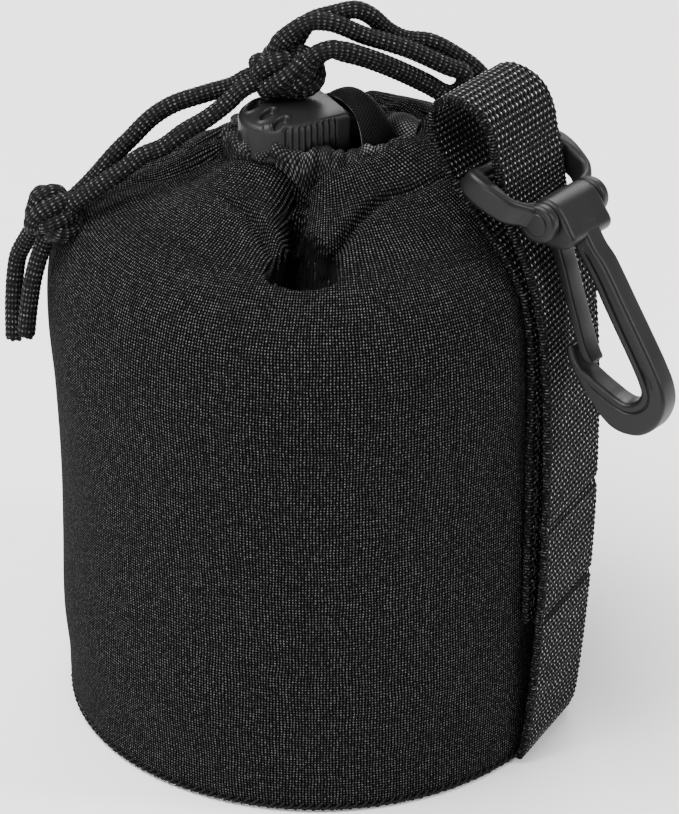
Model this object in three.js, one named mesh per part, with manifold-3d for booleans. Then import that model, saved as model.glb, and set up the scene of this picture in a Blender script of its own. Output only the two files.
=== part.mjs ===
// Drawstring lens pouch, standing upright on its base disc.
// Millimetres, +Z up. Origin: centre of the underside of the base disc.
// +X: the side that carries the webbing, its ring and the snap hook.

import * as THREE from 'three';
import { mergeVertices } from 'three/addons/utils/BufferGeometryUtils.js';
import Module from 'manifold-3d';

// ---------------------------------------------------------------- dimensions
const GAP = 0.3;                 // air between touching pieces

// neoprene body
const BODY_SEGMENTS = 54;
const BODY_OUTER = [             // [radius, height]
  [42.4, 4.8], [43.3, 9], [44.1, 16], [44.1, 45], [44.7, 62],
  [45.3, 73], [45.0, 80], [44.1, 85.4], [42.3, 90], [39.8, 93.3],
  [36.3, 96], [31.5, 98.5], [26.5, 101], [20.8, 103.7], [17.4, 105.2],
];
const BODY_INNER = [             // from the rim down to the base
  [13.0, 105.4], [13.2, 103.6], [16.2, 101.4], [26.0, 96.7],
  [31.0, 94.4], [35.0, 91.7], [38.4, 87.6], [40.6, 80.5],
  [41.0, 73], [39.9, 45], [39.8, 14], [38.2, 4.8],
];
const PLEATS = [                 // gathers round the mouth: angle, depth, half width (deg)
  [-69, 0.16, 9], [-122, 0.12, 9], [-168, 0.13, 10], [144, 0.13, 10],
  [98, 0.14, 10], [46, 0.13, 10], [-27, 0.10, 8],
];
const MOUTH_CENTRE = [2.0, -1.5];

// base
const BASE_R = 42.2;
const BASE_T = 4.5;

// webbing, 20 mm wide, one strip: backing layer up, over the hanger eye, outer layer down
const WEB_W = 20;
const WEB_T = 1.4;
const WEB_PATH = [               // [x, z] of the middle of the web
  [44.1, 28.5], [44.1, 40], [44.1, 56], [44.1, 70], [43.9, 78], [43.4, 84],
  [42.2, 89.5], [40.0, 94.0], [37.1, 97.8], [33.9, 101.6], [31.3, 104.9],
  [28.7, 108.7], [26.5, 112.6], [25.4, 116.2], [25.9, 119.3], [28.2, 121.1],
  [31.2, 120.8], [33.8, 118.8], [35.4, 115.6], [36.2, 111.8], [37.2, 108.9],
  [38.1, 106.4], [38.8, 103.6], [39.6, 101.2], [40.8, 98.7], [42.2, 95.9],
  [43.6, 92.3], [44.8, 88.3], [45.7, 84], [46.2, 79.5], [46.7, 73],
  [47.1, 64], [47.2, 53], [47.1, 42], [46.6, 31], [46.0, 23], [45.2, 15],
  [44.3, 6.2],
];

// ring and hook
const RING_BAR = new THREE.Vector3(34.6, 0.8, 107.6);   // middle of the bar in the web's eye
const RING_AXIS = new THREE.Vector3(0.09, 0.989, -0.115).normalize();
const RING_REACH = new THREE.Vector3(10.7, 0, -5.9);    // towards the pin, squared to the bar below
const RING_HALF = 14.2;          // half outer width at the bar
const RING_T = 3.2;
const PIN_R = 1.5;
const HOOK_T = 4.8;              // the hook is flat, square to its pin
const GATE_T = 4.2;
const HEAD_HALF = 6.4;           // half width of the head that turns on the pin

// cord and cord lock
const CORD_R = 1.5;
const CORD_SIDES = 8;
const LOCK_U = new THREE.Vector3(0.5315, 0.8471, 0).normalize();   // long way of the lock
const LOCK_V = new THREE.Vector3(0.8471, -0.5315, 0).normalize();  // across it
const LOCK_C = new THREE.Vector3(-0.6, -8.3, 109.3);
const LOCK_L = 15.6, LOCK_W = 13.8, LOCK_H = 7.0;
const HOLE_V = 2.6;              // cord holes either side of the middle
const HOLE_U = 2.6;
const KNOT1 = new THREE.Vector3(-3.0, -5.2, 117.3);
const KNOT2 = new THREE.Vector3(-34.1, -27.8, 94.3);

// ---------------------------------------------------------------- materials
const mat = (c, rough, metal = 0) =>
  new THREE.MeshStandardMaterial({ color: c, roughness: rough, metalness: metal });
const NEOPRENE = mat(0x1b1b1d, 0.92);
const TAPE = mat(0x222224, 0.6);
const WEBBING = mat(0x1c1c1e, 0.75);
const CORD = mat(0x1a1a1b, 0.8);
const THREAD = mat(0x161617, 0.8);
const PLASTIC = mat(0x2b2b2d, 0.45);
const STEEL = mat(0x9a9b9e, 0.3, 1);

// ---------------------------------------------------------------- helpers
const wasm = await Module();
wasm.setup();

function solid(geometry) {
  const g = geometry.clone();
  g.deleteAttribute('normal');
  g.deleteAttribute('uv');
  const m = mergeVertices(g, 1e-4);
  return new wasm.Manifold(new wasm.Mesh({
    numProp: 3,
    vertProperties: new Float32Array(m.attributes.position.array),
    triVerts: new Uint32Array(m.index.array),
  }));
}

function geometryOf(manifold) {
  const m = manifold.getMesh();
  const g = new THREE.BufferGeometry();
  const p = new Float32Array(m.numVert * 3);
  for (let i = 0; i < m.numVert; i++) {
    for (let k = 0; k < 3; k++) p[3 * i + k] = m.vertProperties[i * m.numProp + k];
  }
  g.setAttribute('position', new THREE.BufferAttribute(p, 3));
  g.setIndex(new THREE.BufferAttribute(new Uint32Array(m.triVerts), 1));
  g.computeVertexNormals();
  return g;
}

const group = new THREE.Group();
function add(name, geometry, material, parent = group) {
  const mesh = new THREE.Mesh(geometry, material);
  mesh.name = name;
  parent.add(mesh);
  return mesh;
}

const lerp = (a, b, t) => a + (b - a) * t;
function table(rows, z) {        // rows: [z, value], rising z
  if (z <= rows[0][0]) return rows[0][1];
  for (let i = 1; i < rows.length; i++) {
    if (z <= rows[i][0]) {
      return lerp(rows[i - 1][1], rows[i][1], (z - rows[i - 1][0]) / (rows[i][0] - rows[i - 1][0]));
    }
  }
  return rows[rows.length - 1][1];
}
const smooth = (a, b, x) => {
  const t = Math.min(1, Math.max(0, (x - a) / (b - a)));
  return t * t * (3 - 2 * t);
};
function frameGroup(x, y, z, origin) {   // nested group with its own axes
  const g = new THREE.Group();
  const m = new THREE.Matrix4().makeBasis(x, y, z);
  m.setPosition(origin);
  m.decompose(g.position, g.quaternion, g.scale);
  group.add(g);
  return g;
}
function cylinderBetween(a, b, r, sides = 16) {
  const d = new THREE.Vector3().subVectors(b, a);
  const g = new THREE.CylinderGeometry(r, r, d.length(), sides);
  g.applyQuaternion(new THREE.Quaternion().setFromUnitVectors(new THREE.Vector3(0, 1, 0), d.clone().normalize()));
  const m = new THREE.Vector3().addVectors(a, b).multiplyScalar(0.5);
  g.translate(m.x, m.y, m.z);
  return g;
}
function tube(points, r, sides, steps) {
  const section = new THREE.Shape();
  for (let i = 0; i < sides; i++) {
    const a = (2 * Math.PI * (i + 0.5)) / sides;
    if (i) section.lineTo(r * Math.cos(a), r * Math.sin(a));
    else section.moveTo(r * Math.cos(a), r * Math.sin(a));
  }
  section.closePath();
  const path = new THREE.CatmullRomCurve3(points.map((p) => new THREE.Vector3(...p)), false, 'centripetal');
  return new THREE.ExtrudeGeometry(section, { steps, extrudePath: path, bevelEnabled: false, curveSegments: 1 });
}
function plate(outline, thickness, bevel = 0) {  // extruded outline centred on its own plane
  const s = new THREE.Shape(outline.map((p) => new THREE.Vector2(...p)));
  const g = new THREE.ExtrudeGeometry(s, {
    depth: thickness - 2 * bevel, bevelEnabled: bevel > 0, bevelThickness: bevel,
    bevelSize: bevel, bevelOffset: -bevel, bevelSegments: 1, curveSegments: 8,
  });
  g.translate(0, 0, -thickness / 2 + bevel);
  return g;
}

// ---------------------------------------------------------------- neoprene body
const SHIFT = (z) => smooth(88, 105.7, z);
const FLAT_X = [[4, 43.0], [70, 43.0], [78, 42.8], [84, 42.25], [89.5, 40.95], [94, 38.6], [98, 35.2]];
const BULGE = [[96, 0.3], [98.5, 1.6], [101, 3.6], [104, 5.4], [106, 5.6]];

function pleatFactor(deg, z) {
  const grow = smooth(84, 104, z);
  let k = 1;
  for (const [at, depth, half] of PLEATS) {
    let d = ((deg - at + 540) % 360) - 180;
    const w = half * (1 + 0.9 * (1 - grow));
    k -= depth * grow * Math.exp(-(d * d) / (w * w));
  }
  return k;
}

{
  const profile = [...BODY_OUTER, ...BODY_INNER];
  profile.push(BODY_OUTER[0]);
  const g = new THREE.LatheGeometry(profile.map(([r, z]) => new THREE.Vector2(r, z)), BODY_SEGMENTS);
  g.rotateX(Math.PI / 2);
  const p = g.attributes.position;
  const rows = profile.length;
  for (let i = 0; i < p.count; i++) {
    const row = i % rows;
    const inner = row >= BODY_OUTER.length && row < rows - 1;
    let x = p.getX(i), y = p.getY(i);
    const z = p.getZ(i);
    const skin = inner ? z + 4 * smooth(80, 92, z) : z;   // height of the outer skin over this point
    const a = Math.atan2(y, x);
    const deg = (a * 180) / Math.PI;
    let r = Math.hypot(x, y) * pleatFactor(deg, skin);
    if (inner && z > 101) r = Math.max(r, 12.4);           // room for the casing
    const side = Math.max(0, Math.cos((a * 90) / 50));
    if (Math.abs(deg) < 50) r += table(BULGE, skin) * side * side * (skin > 96 ? 1 : 0);
    const s = SHIFT(skin);
    x = r * Math.cos(a) + MOUTH_CENTRE[0] * s;
    y = r * Math.sin(a) + MOUTH_CENTRE[1] * s;
    if (Math.abs(y) < 11.5 && x > 0) {
      const limit = table(FLAT_X, z) - (inner ? 4.0 : 0);
      if (z < 98) x = Math.min(x, limit);
    }
    p.setXYZ(i, x, y, z);
  }
  g.computeVertexNormals();
  add('neoprene_body', geometryOf(solid(g)), NEOPRENE);
}

// ---------------------------------------------------------------- base disc and its overlocked edge
{
  const g = new THREE.CylinderGeometry(BASE_R, BASE_R, BASE_T, BODY_SEGMENTS);
  g.rotateX(Math.PI / 2);
  g.translate(0, 0, BASE_T / 2);
  add('base_disc', g, NEOPRENE);

  const ring = [
    [42.55, 0.3], [43.3, 0.3], [43.9, 1.5], [43.9, 4.6], [43.4, 5.7], [43.0, 5.7],
  ];
  ring.push(ring[0]);
  const t = new THREE.LatheGeometry(ring.map(([r, z]) => new THREE.Vector2(r, z)), BODY_SEGMENTS);
  t.rotateX(Math.PI / 2);
  add('base_overlock_seam', geometryOf(solid(t)), THREAD);
}

// ---------------------------------------------------------------- webbing
const webCurve = new THREE.CatmullRomCurve3(
  WEB_PATH.map(([x, z]) => new THREE.Vector3(x, 0, z)), false, 'centripetal');
{
  const n = 84;
  const left = [], right = [];
  for (let i = 0; i <= n; i++) {
    const c = webCurve.getPointAt(i / n);
    const t = webCurve.getTangentAt(i / n);
    const nx = -t.z, nz = t.x;
    left.push([c.x + (nx * WEB_T) / 2, c.z + (nz * WEB_T) / 2]);
    right.push([c.x - (nx * WEB_T) / 2, c.z - (nz * WEB_T) / 2]);
  }
  const outline = [...left, ...right.reverse()];
  const g = plate(outline, WEB_W);
  g.rotateX(Math.PI / 2);
  const p = g.attributes.position;           // the arch leans with the ring it carries
  for (let i = 0; i < p.count; i++) {
    const lean = smooth(97, 108, p.getZ(i)) * (p.getY(i) + WEB_W / 2);
    p.setX(i, p.getX(i) + 0.07 * lean);
    p.setZ(i, p.getZ(i) - 0.08 * lean);
  }
  add('webbing_strap', geometryOf(solid(g)), WEBBING);
}

// thread: two tacks across the outer layer, two rows along the backing layer
{
  const tack = (name, z, x) => {
    const g = new THREE.CapsuleGeometry(0.55, WEB_W - 3.2, 3, 8);
    g.scale(0.6, 1, 1);
    g.translate(x, 0, z);
    add(name, g, THREAD);
  };
  tack('bar_tack_upper', 47, 48.55);
  tack('bar_tack_lower', 29, 47.85);

  const row = (name, y) => {
    const pts = [[0, 31], [0, 44], [0, 57], [0, 70]].map(([, z]) => [44.8 + GAP + 0.25, z]);
    const s = [...pts.map(([x, z]) => [x - 0.22, z]), ...pts.reverse().map(([x, z]) => [x + 0.22, z])];
    const g = plate(s, 0.7);
    g.rotateX(Math.PI / 2);
    g.translate(0, y, 0);
    add(name, g, THREAD);
  };
  row('backing_stitch_near', -8.7);
  row('backing_stitch_far', 8.7);
}

// ---------------------------------------------------------------- ring
const reach = RING_REACH.clone().addScaledVector(RING_AXIS, -RING_REACH.dot(RING_AXIS));
const RING_L = reach.length();
const ringDir = reach.clone().normalize();
const ringNormal = new THREE.Vector3().crossVectors(RING_AXIS, ringDir);
const PIVOT = RING_BAR.clone().add(reach);
{
  const g = frameGroup(RING_AXIS, ringDir, ringNormal, RING_BAR);
  const H = RING_HALF, L = RING_L;
  const outer = [
    [-H + 1.6, -1.4], [H - 1.6, -1.4], [H - 0.4, -0.9], [H, 0.6], [H, 3.2], [12.6, 7.6], [9.6, 10.6], [9.2, L + 0.5], [6.9, L + 0.5],
    [6.9, L - 2.6], [10.9, 6.6], [11.2, 3.6], [11.0, 2.2], [10.2, 1.4],
    [-10.2, 1.4], [-11.0, 2.2], [-11.2, 3.6], [-10.9, 6.6], [-6.9, L - 2.6],
    [-6.9, L + 0.5], [-9.2, L + 0.5], [-9.6, 10.6], [-12.6, 7.6], [-H, 3.2], [-H, 0.6], [-H + 0.4, -0.9],
  ];
  let m = solid(plate(outer, RING_T, 0.5));
  const v = (x, y, z = 0) => new THREE.Vector3(x, y, z);
  for (const side of [-1, 1]) {
    m = m.add(solid(cylinderBetween(v(side * 6.8, L), v(side * 9.2, L), 3.0, 20)));
    m = m.add(solid(cylinderBetween(v(side * 9.0, L), v(side * 9.9, L), 2.0, 14)));
  }
  m = m.add(solid(cylinderBetween(v(-7.4, L), v(7.4, L), PIN_R, 14)));
  add('web_ring', geometryOf(m), PLASTIC, g);
}

// ---------------------------------------------------------------- snap hook
const outward = new THREE.Vector3().crossVectors(RING_AXIS, new THREE.Vector3(0, 0, 1)).normalize();
if (outward.x < 0) outward.negate();
const down = new THREE.Vector3().crossVectors(RING_AXIS, outward).normalize();
if (down.z > 0) down.negate();
{
  const g = frameGroup(outward, down, RING_AXIS, PIVOT);   // x outwards, y down, z along the pin
  const frame = [
    [2.4, 0.5], [5.4, 1.9], [6.7, 4.0], [8.4, 5.6], [10.4, 8.1], [13.8, 13.0], [17.0, 17.6], [20.2, 22.3],
    [21.6, 24.9], [22.2, 27.2], [21.9, 29.4], [20.8, 31.7], [18.7, 33.5], [16.0, 34.2], [13.6, 33.9], [12.0, 33.1],
    [10.3, 31.6], [7.6, 28.7], [5.2, 26.2], [3.9, 24.2], [3.4, 22.3], [3.9, 21.5], [4.7, 21.7], [5.5, 23.5],
    [7.1, 25.3], [10.2, 27.0], [13.5, 28.5], [15.2, 28.7], [16.8, 28.0], [17.7, 26.4], [17.3, 24.9], [15.4, 22.0],
    [11.9, 16.9], [9.5, 13.4], [7.0, 9.6], [4.6, 6.4], [3.2, 4.9], [1.0, 3.6],
  ];
  const head = [
    [-3.3, 0], [-2.9, -1.6], [-1.7, -2.8], [0, -3.3], [1.8, -2.7], [3.1, -1.4], [4.4, 0.4], [5.5, 2.2],
    [5.2, 3.3], [4.0, 4.2], [2.4, 4.5], [-0.4, 4.1], [-2.4, 2.4],
  ];
  let m = solid(plate(frame, HOOK_T, 0.5));
  m = m.add(solid(plate(head, 2 * HEAD_HALF, 0.5)));
  const v = (z) => new THREE.Vector3(0, 0, z);
  m = m.subtract(solid(cylinderBetween(v(-10), v(10), PIN_R + 0.4, 16)));
  add('snap_hook', geometryOf(m), PLASTIC, g);

  const tongue = [
    [1.0, 6.0], [3.9, 13.6], [6.8, 20.8], [7.7, 22.6], [8.7, 23.9], [8.2, 24.4], [7.0, 23.9], [6.1, 22.6],
    [5.2, 20.8], [2.3, 13.6], [-0.8, 6.0], [-0.6, 5.1], [0.3, 4.9], [0.8, 5.2],
  ];
  add('hook_gate', plate(tongue, GATE_T, 0.3), PLASTIC, g);
}

// ---------------------------------------------------------------- drawstring casing and the cord in it
const exitAngle = (-122 * Math.PI) / 180;
const ringPoint = (a, r, z) => [MOUTH_CENTRE[0] + r * Math.cos(a), MOUTH_CENTRE[1] + r * Math.sin(a), z];
function mouthArc(halfGapDeg, r, z, n) {
  const h = (halfGapDeg * Math.PI) / 180;
  const pts = [];
  for (let i = 0; i <= n; i++) pts.push(ringPoint(exitAngle + h + ((2 * Math.PI - 2 * h) * i) / n, r, z));
  return pts;
}
const CASING_R = 9.6, CASING_Z = 103.4;
{
  const hull = solid(tube(mouthArc(38, CASING_R, CASING_Z, 24), 2.3, 10, 24));
  const bore = solid(tube(mouthArc(34, CASING_R, CASING_Z, 24), 1.85, 8, 24));
  add('drawstring_casing', geometryOf(hull.subtract(bore)), TAPE);
  add('drawstring_in_casing', tube(mouthArc(28, CASING_R, CASING_Z, 24), CORD_R - 0.1, CORD_SIDES, 26), CORD);
}

// ---------------------------------------------------------------- cord lock
const lockPoint = (u, v, z) => LOCK_C.clone().addScaledVector(LOCK_U, u).addScaledVector(LOCK_V, v).add(new THREE.Vector3(0, 0, z));
{
  const g = frameGroup(LOCK_U, new THREE.Vector3().copy(LOCK_V).negate(), new THREE.Vector3(0, 0, 1), LOCK_C);
  const outline = [];
  const hl = LOCK_L / 2, hw = LOCK_W / 2;
  outline.push([hl, -hw + 0.8], [hl, hw - 0.8], [hl - 0.8, hw], [-1.5, hw]);
  for (let i = 1; i < 8; i++) {
    const a = Math.PI / 2 + (Math.PI * i) / 8;
    outline.push([-1.5 + 7.2 * Math.cos(a), hw * Math.sin(a)]);
  }
  outline.push([-1.5, -hw], [hl - 0.8, -hw]);
  const box = (w, d, h, x, y, z) => {
    const b = new THREE.BoxGeometry(w, d, h);
    b.translate(x, y, z);
    return solid(b);
  };
  const v = (x, y, z = 0) => new THREE.Vector3(x, y, z);
  let m = solid(plate(outline, LOCK_H, 1.0));
  m = m.subtract(box(12.6, 11.4, 4.6, 2.6, 0, 0));                       // plunger bay, open at the button end
  m = m.subtract(solid(cylinderBetween(v(-6.2, 0), v(-3.0, 0), 1.95, 14)));  // spring pocket
  m = m.subtract(solid(cylinderBetween(v(HOLE_U, HOLE_V, -6), v(HOLE_U, HOLE_V, 6), 2.0, 16)));
  m = m.subtract(solid(cylinderBetween(v(HOLE_U, -HOLE_V, -6), v(HOLE_U, -HOLE_V, 6), 2.0, 16)));
  add('lock_housing', geometryOf(m), PLASTIC, g);

  let b = box(11.5, 10.8, 4.0, 4.95, 0, 0).add(box(1.6, 12.4, 6.0, 11.4, 0, 0));
  for (const s of [-1, 1]) b = b.subtract(box(6.2, 3.7, 9, 3.8, s * HOLE_V, 0));   // cord windows
  add('lock_button', geometryOf(b), PLASTIC, g);

  const turns = 4, r = 1.4, from = -5.9, to = -1.25;
  const pts = [];
  for (let i = 0; i <= turns * 10; i++) {
    const a = (2 * Math.PI * i) / 10;
    pts.push([lerp(from, to, i / (turns * 10)), r * Math.cos(a), r * Math.sin(a)]);
  }
  add('lock_spring', tube(pts, 0.25, 6, turns * 10), STEEL, g);
}

// ---------------------------------------------------------------- knots and free cord
const CORD_EAST = new THREE.Vector3(0.88, 0.47, 0.05).normalize();
function knot(name, centre, a, b, c, lengthwise) {
  const g = new THREE.SphereGeometry(1, 14, 9);
  const x = lengthwise.clone().normalize();
  const z0 = new THREE.Vector3(0, 0, 1);
  const y = new THREE.Vector3().crossVectors(z0, x).normalize();
  const z = new THREE.Vector3().crossVectors(x, y);
  g.scale(a, b, c);
  const m = new THREE.Matrix4().makeBasis(x, y, z);
  m.setPosition(centre);
  g.applyMatrix4(m);
  add(name, geometryOf(solid(g)), CORD);
}
knot('lock_knot', KNOT1, 6.6, 4.7, 3.9, CORD_EAST);
knot('end_knot', KNOT2, 5.0, 4.1, 4.1, new THREE.Vector3(-0.6, -0.5, -0.6));

const P = (u, v, z) => lockPoint(u, v, z).toArray();
const free = (name, pts, steps) => add(name, tube(pts, CORD_R, CORD_SIDES, steps), CORD);

// up through the lock
const start = (deg, r, z) => ringPoint(exitAngle + (deg * Math.PI) / 180, r, z);
free('drawstring_riser_a', [start(21.5, CASING_R, CASING_Z), start(16, 9.2, 103.1), [-0.6, -8.3, 102.7], [1.4, -7.0, 103.2],
  P(HOLE_U, HOLE_V, -4.4), P(HOLE_U, HOLE_V, -2), P(HOLE_U, HOLE_V, 3.6)], 10);
free('drawstring_riser_b', [start(-21.5, CASING_R, CASING_Z), start(-16, 9.2, 103.1), [-3.4, -6.0, 102.9], [-1.9, -5.0, 104.0],
  P(HOLE_U, -HOLE_V, -3.6), P(HOLE_U, -HOLE_V, -2), P(HOLE_U, -HOLE_V, 3.6)], 10);

// carrying loop: out of the first knot, round behind the hanger and back, twice
free('carry_loop_outer', [
  [-3.2, -0.8, 121.6], [-2.2, 1.4, 123.8], [1.7, 2.6, 125.6], [4.6, 4.6, 126.1], [6.3, 6.2, 124.9], [8.6, 8.8, 121.4],
  [10.7, 10.4, 119.9], [14.2, 12.4, 119.3], [17.5, 14.7, 116.9], [20.4, 17.2, 113.6], [21.4, 18.8, 110.4], [20.2, 18, 107.8],
  [17.2, 15, 108.8], [13.98, 11.5, 112.02], [10.58, 7.3, 115.52], [7.18, 3.2, 118.52], [4.08, 0.5, 120.12], [2.9, -0.5, 120.9],
], 30);
free('carry_loop_inner', [
  [-4.2, -5.4, 122.3], [-2.3, -3.9, 124.3], [-0.1, -2.4, 125.7], [2.9, -0.6, 125.5], [7.2, 2.6, 122.9], [10.6, 4.8, 121.4],
  [12.8, 6.2, 120.4], [15, 7.7, 119.1], [18.4, 10.4, 116.6], [20.2, 12.6, 113.6], [18.9, 12, 111.6],
  [15.6, 8.4, 114], [12.2, 4.2, 117.5], [8.8, 0.1, 120.5], [5.7, -2.6, 122.1], [3.1, -4.4, 122],
], 28);

// two strands down to the second knot, and the two ends
free('left_strand_upper', [
  [-9.6, -6, 115.4], [-11.6, -7, 114], [-15.6, -9.4, 112.6], [-20.2, -12.2, 110.8], [-23, -14.2, 108.7],
  [-25.8, -16.7, 105.2], [-27.5, -18.1, 103.1], [-29.8, -20.4, 99.7], [-30.9, -22.4, 98],
], 12);
free('left_strand_lower', [
  [-8.3, -10.2, 115.3], [-10.3, -11.9, 113], [-12.9, -14.2, 110.6], [-15.8, -16.4, 108.6], [-18.4, -18.7, 106.3],
  [-21.3, -20.8, 104.9], [-23.8, -23.1, 102.6], [-26, -25, 100.8], [-28.2, -26.3, 99],
], 12);
free('cord_tail_a', [[-38.7, -26.6, 90.3], [-40.6, -26.3, 87.4], [-42.1, -26.4, 84.4], [-42.5, -26.9, 81.2], [-42.4, -27.9, 76.6], [-42, -28.9, 70.5]], 8);
free('cord_tail_b', [[-35.6, -28.9, 89], [-36.2, -29.6, 86.6], [-36.7, -30.5, 83.6], [-37.1, -31.1, 80.2], [-37.3, -31.7, 77], [-37.4, -32.3, 73.7]], 8);

export default group;
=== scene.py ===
import math
import bpy
import numpy as np
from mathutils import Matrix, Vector


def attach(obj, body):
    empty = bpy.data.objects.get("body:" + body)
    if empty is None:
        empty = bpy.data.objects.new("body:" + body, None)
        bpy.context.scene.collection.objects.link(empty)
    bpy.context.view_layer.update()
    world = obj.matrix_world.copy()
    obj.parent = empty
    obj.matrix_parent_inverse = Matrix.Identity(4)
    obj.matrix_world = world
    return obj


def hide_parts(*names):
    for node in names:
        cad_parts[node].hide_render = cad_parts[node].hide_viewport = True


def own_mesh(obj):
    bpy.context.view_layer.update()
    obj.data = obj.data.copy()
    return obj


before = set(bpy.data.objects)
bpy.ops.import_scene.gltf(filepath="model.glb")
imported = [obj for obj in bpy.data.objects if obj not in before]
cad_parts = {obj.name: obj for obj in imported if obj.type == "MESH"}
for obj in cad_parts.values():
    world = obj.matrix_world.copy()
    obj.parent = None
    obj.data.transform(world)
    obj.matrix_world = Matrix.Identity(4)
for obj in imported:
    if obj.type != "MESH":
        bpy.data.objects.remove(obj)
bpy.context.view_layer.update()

MM = 0.001
TAU = 2 * math.pi
RNG = np.random.default_rng(11)
SCENE = bpy.context.scene


# ------------------------------------------------------------------ helpers
def V3(*a):
    return np.array(a, float)


def unit(a):
    a = np.asarray(a, float)
    return a / np.linalg.norm(a)


def smooth(a, b, x):
    t = np.clip((np.asarray(x, float) - a) / (b - a), 0, 1)
    return t * t * (3 - 2 * t)


def tab(rows, x):
    return np.interp(x, [r[0] for r in rows], [r[1] for r in rows])


def build(name, verts, quads, uv, mat):
    """Corner numbers four to a face, -1 in the last place for a triangle; uv in mm, one pair per corner."""
    me = bpy.data.meshes.new(name)
    quads = np.asarray(quads, np.int64)
    tri = quads[:, 3] < 0
    sizes = np.where(tri, 3, 4)
    starts = np.concatenate([[0], np.cumsum(sizes)[:-1]])
    keep = np.ones(quads.shape, bool)
    keep[tri, 3] = False
    idx = quads[keep]
    me.vertices.add(len(verts))
    me.vertices.foreach_set("co", (np.asarray(verts, float) * MM).ravel())
    me.loops.add(len(idx))
    me.loops.foreach_set("vertex_index", idx.astype(np.int32))
    me.polygons.add(len(quads))
    me.polygons.foreach_set("loop_start", starts.astype(np.int32))
    me.polygons.foreach_set("use_smooth", np.ones(len(quads), bool))
    lay = me.uv_layers.new(name="UVMap")
    lay.data.foreach_set("uv", np.asarray(uv, float)[keep].ravel())
    me.update(calc_edges=True)
    me.validate()
    o = bpy.data.objects.new(name, me)
    SCENE.collection.objects.link(o)
    me.materials.append(mat)
    return o


def grid_faces(n, m, wu, wv, off, flip):
    nu = n if wu else n - 1
    mv = m if wv else m - 1
    i = np.arange(nu)[:, None]
    j = np.arange(mv)[None, :]
    i2, j2 = (i + 1) % n, (j + 1) % m
    q = np.stack(np.broadcast_arrays(i * m + j, i2 * m + j, i2 * m + j2, i * m + j2), -1).reshape(-1, 4) + off
    return q[:, ::-1] if flip else q


def grid_uv(U, W, flip):
    a = np.stack([U, W], -1)
    q = np.stack([a[:-1, :-1], a[1:, :-1], a[1:, 1:], a[:-1, 1:]], 2).reshape(-1, 4, 2)
    return q[:, ::-1] if flip else q


class Bag:
    """Collects grids of points into one mesh."""

    def __init__(self):
        self.v, self.q, self.uv, self.n = [], [], [], 0

    def grid(self, P, wu=False, wv=False, U=None, W=None, flip=False):
        n, m = P.shape[:2]
        self.q.append(grid_faces(n, m, wu, wv, self.n, flip))
        if U is None:
            U, W = np.meshgrid(np.arange((n if wu else n - 1) + 1.0), np.arange((m if wv else m - 1) + 1.0), indexing="ij")
        self.uv.append(grid_uv(U, W, flip))
        self.v.append(P.reshape(-1, 3))
        self.n += n * m

    def fan(self, ring, centre, flip=False):
        self.v.append(np.asarray(centre, float).reshape(1, 3))
        c = self.n
        self.n += 1
        r = np.asarray(ring)
        q = np.stack([r, np.roll(r, -1), np.full(len(r), c), np.full(len(r), -1)], -1)
        if flip:
            q = q[:, [1, 0, 2, 3]]
        self.q.append(q)
        self.uv.append(np.zeros((len(r), 4, 2)))

    def edge_cap(self, first, n, flip=False):
        """Closes the end of a thin strip: n corners on one face, then n back along the other."""
        j = np.arange(n - 1)
        q = first + np.stack([j, 2 * n - 1 - j, 2 * n - 2 - j, j + 1], -1)
        self.q.append(q[:, ::-1] if flip else q)
        self.uv.append(np.zeros((n - 1, 4, 2)))

    def make(self, name, mat):
        return build(name, np.vstack(self.v), np.vstack(self.q), np.vstack(self.uv), mat)


def even(Q, step):
    d = np.linalg.norm(np.diff(Q[:, :3], axis=0), axis=1)
    s = np.concatenate([[0], np.cumsum(d)])
    n = max(3, int(round(s[-1] / step)) + 1)
    t = np.linspace(0, s[-1], n)
    return np.stack([np.interp(t, s, Q[:, k]) for k in range(Q.shape[1])], -1)


def catmull(points, step=0.4):
    """Centripetal spline through the points, resampled at an even step."""
    P = np.asarray(points, float)
    P = np.vstack([2 * P[0] - P[1], P, 2 * P[-1] - P[-2]])
    out = []
    for k in range(1, len(P) - 2):
        p0, p1, p2, p3 = P[k - 1], P[k], P[k + 1], P[k + 2]
        t1 = max(np.linalg.norm(p1 - p0), 1e-6) ** 0.5
        t2 = t1 + max(np.linalg.norm(p2 - p1), 1e-6) ** 0.5
        t3 = t2 + max(np.linalg.norm(p3 - p2), 1e-6) ** 0.5
        t = np.linspace(t1, t2, 20, endpoint=False)[:, None]
        a1 = (t1 - t) / t1 * p0 + t / t1 * p1
        a2 = (t2 - t) / (t2 - t1) * p1 + (t - t1) / (t2 - t1) * p2
        a3 = (t3 - t) / (t3 - t2) * p2 + (t - t2) / (t3 - t2) * p3
        b1 = (t2 - t) / t2 * a1 + t / t2 * a2
        b2 = (t3 - t) / (t3 - t1) * a2 + (t - t1) / (t3 - t1) * a3
        out.append((t2 - t) / (t2 - t1) * b1 + (t - t1) / (t2 - t1) * b2)
    out.append(P[-2][None])
    return even(np.vstack(out), step)


def spread(points, n):
    """The same spline with exactly n points."""
    Q = catmull(points, 0.1)
    s = along(Q)
    t = np.linspace(0, s[-1], n)
    return np.stack([np.interp(t, s, Q[:, k]) for k in range(3)], -1)


def along(P):
    return np.concatenate([[0], np.cumsum(np.linalg.norm(np.diff(P, axis=0), axis=1))])


def frames(P, closed=False):
    T = np.roll(P, -1, 0) - np.roll(P, 1, 0) if closed else np.gradient(P, axis=0)
    T = T / np.linalg.norm(T, axis=1)[:, None]
    N = np.zeros_like(P)
    h = V3(0, 0, 1) if abs(T[0][2]) < 0.9 else V3(1, 0, 0)
    N[0] = unit(h - T[0] * (h @ T[0]))
    for i in range(1, len(P)):
        N[i] = unit(N[i - 1] - T[i] * (N[i - 1] @ T[i]))
    return T, N, np.cross(T, N)


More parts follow.
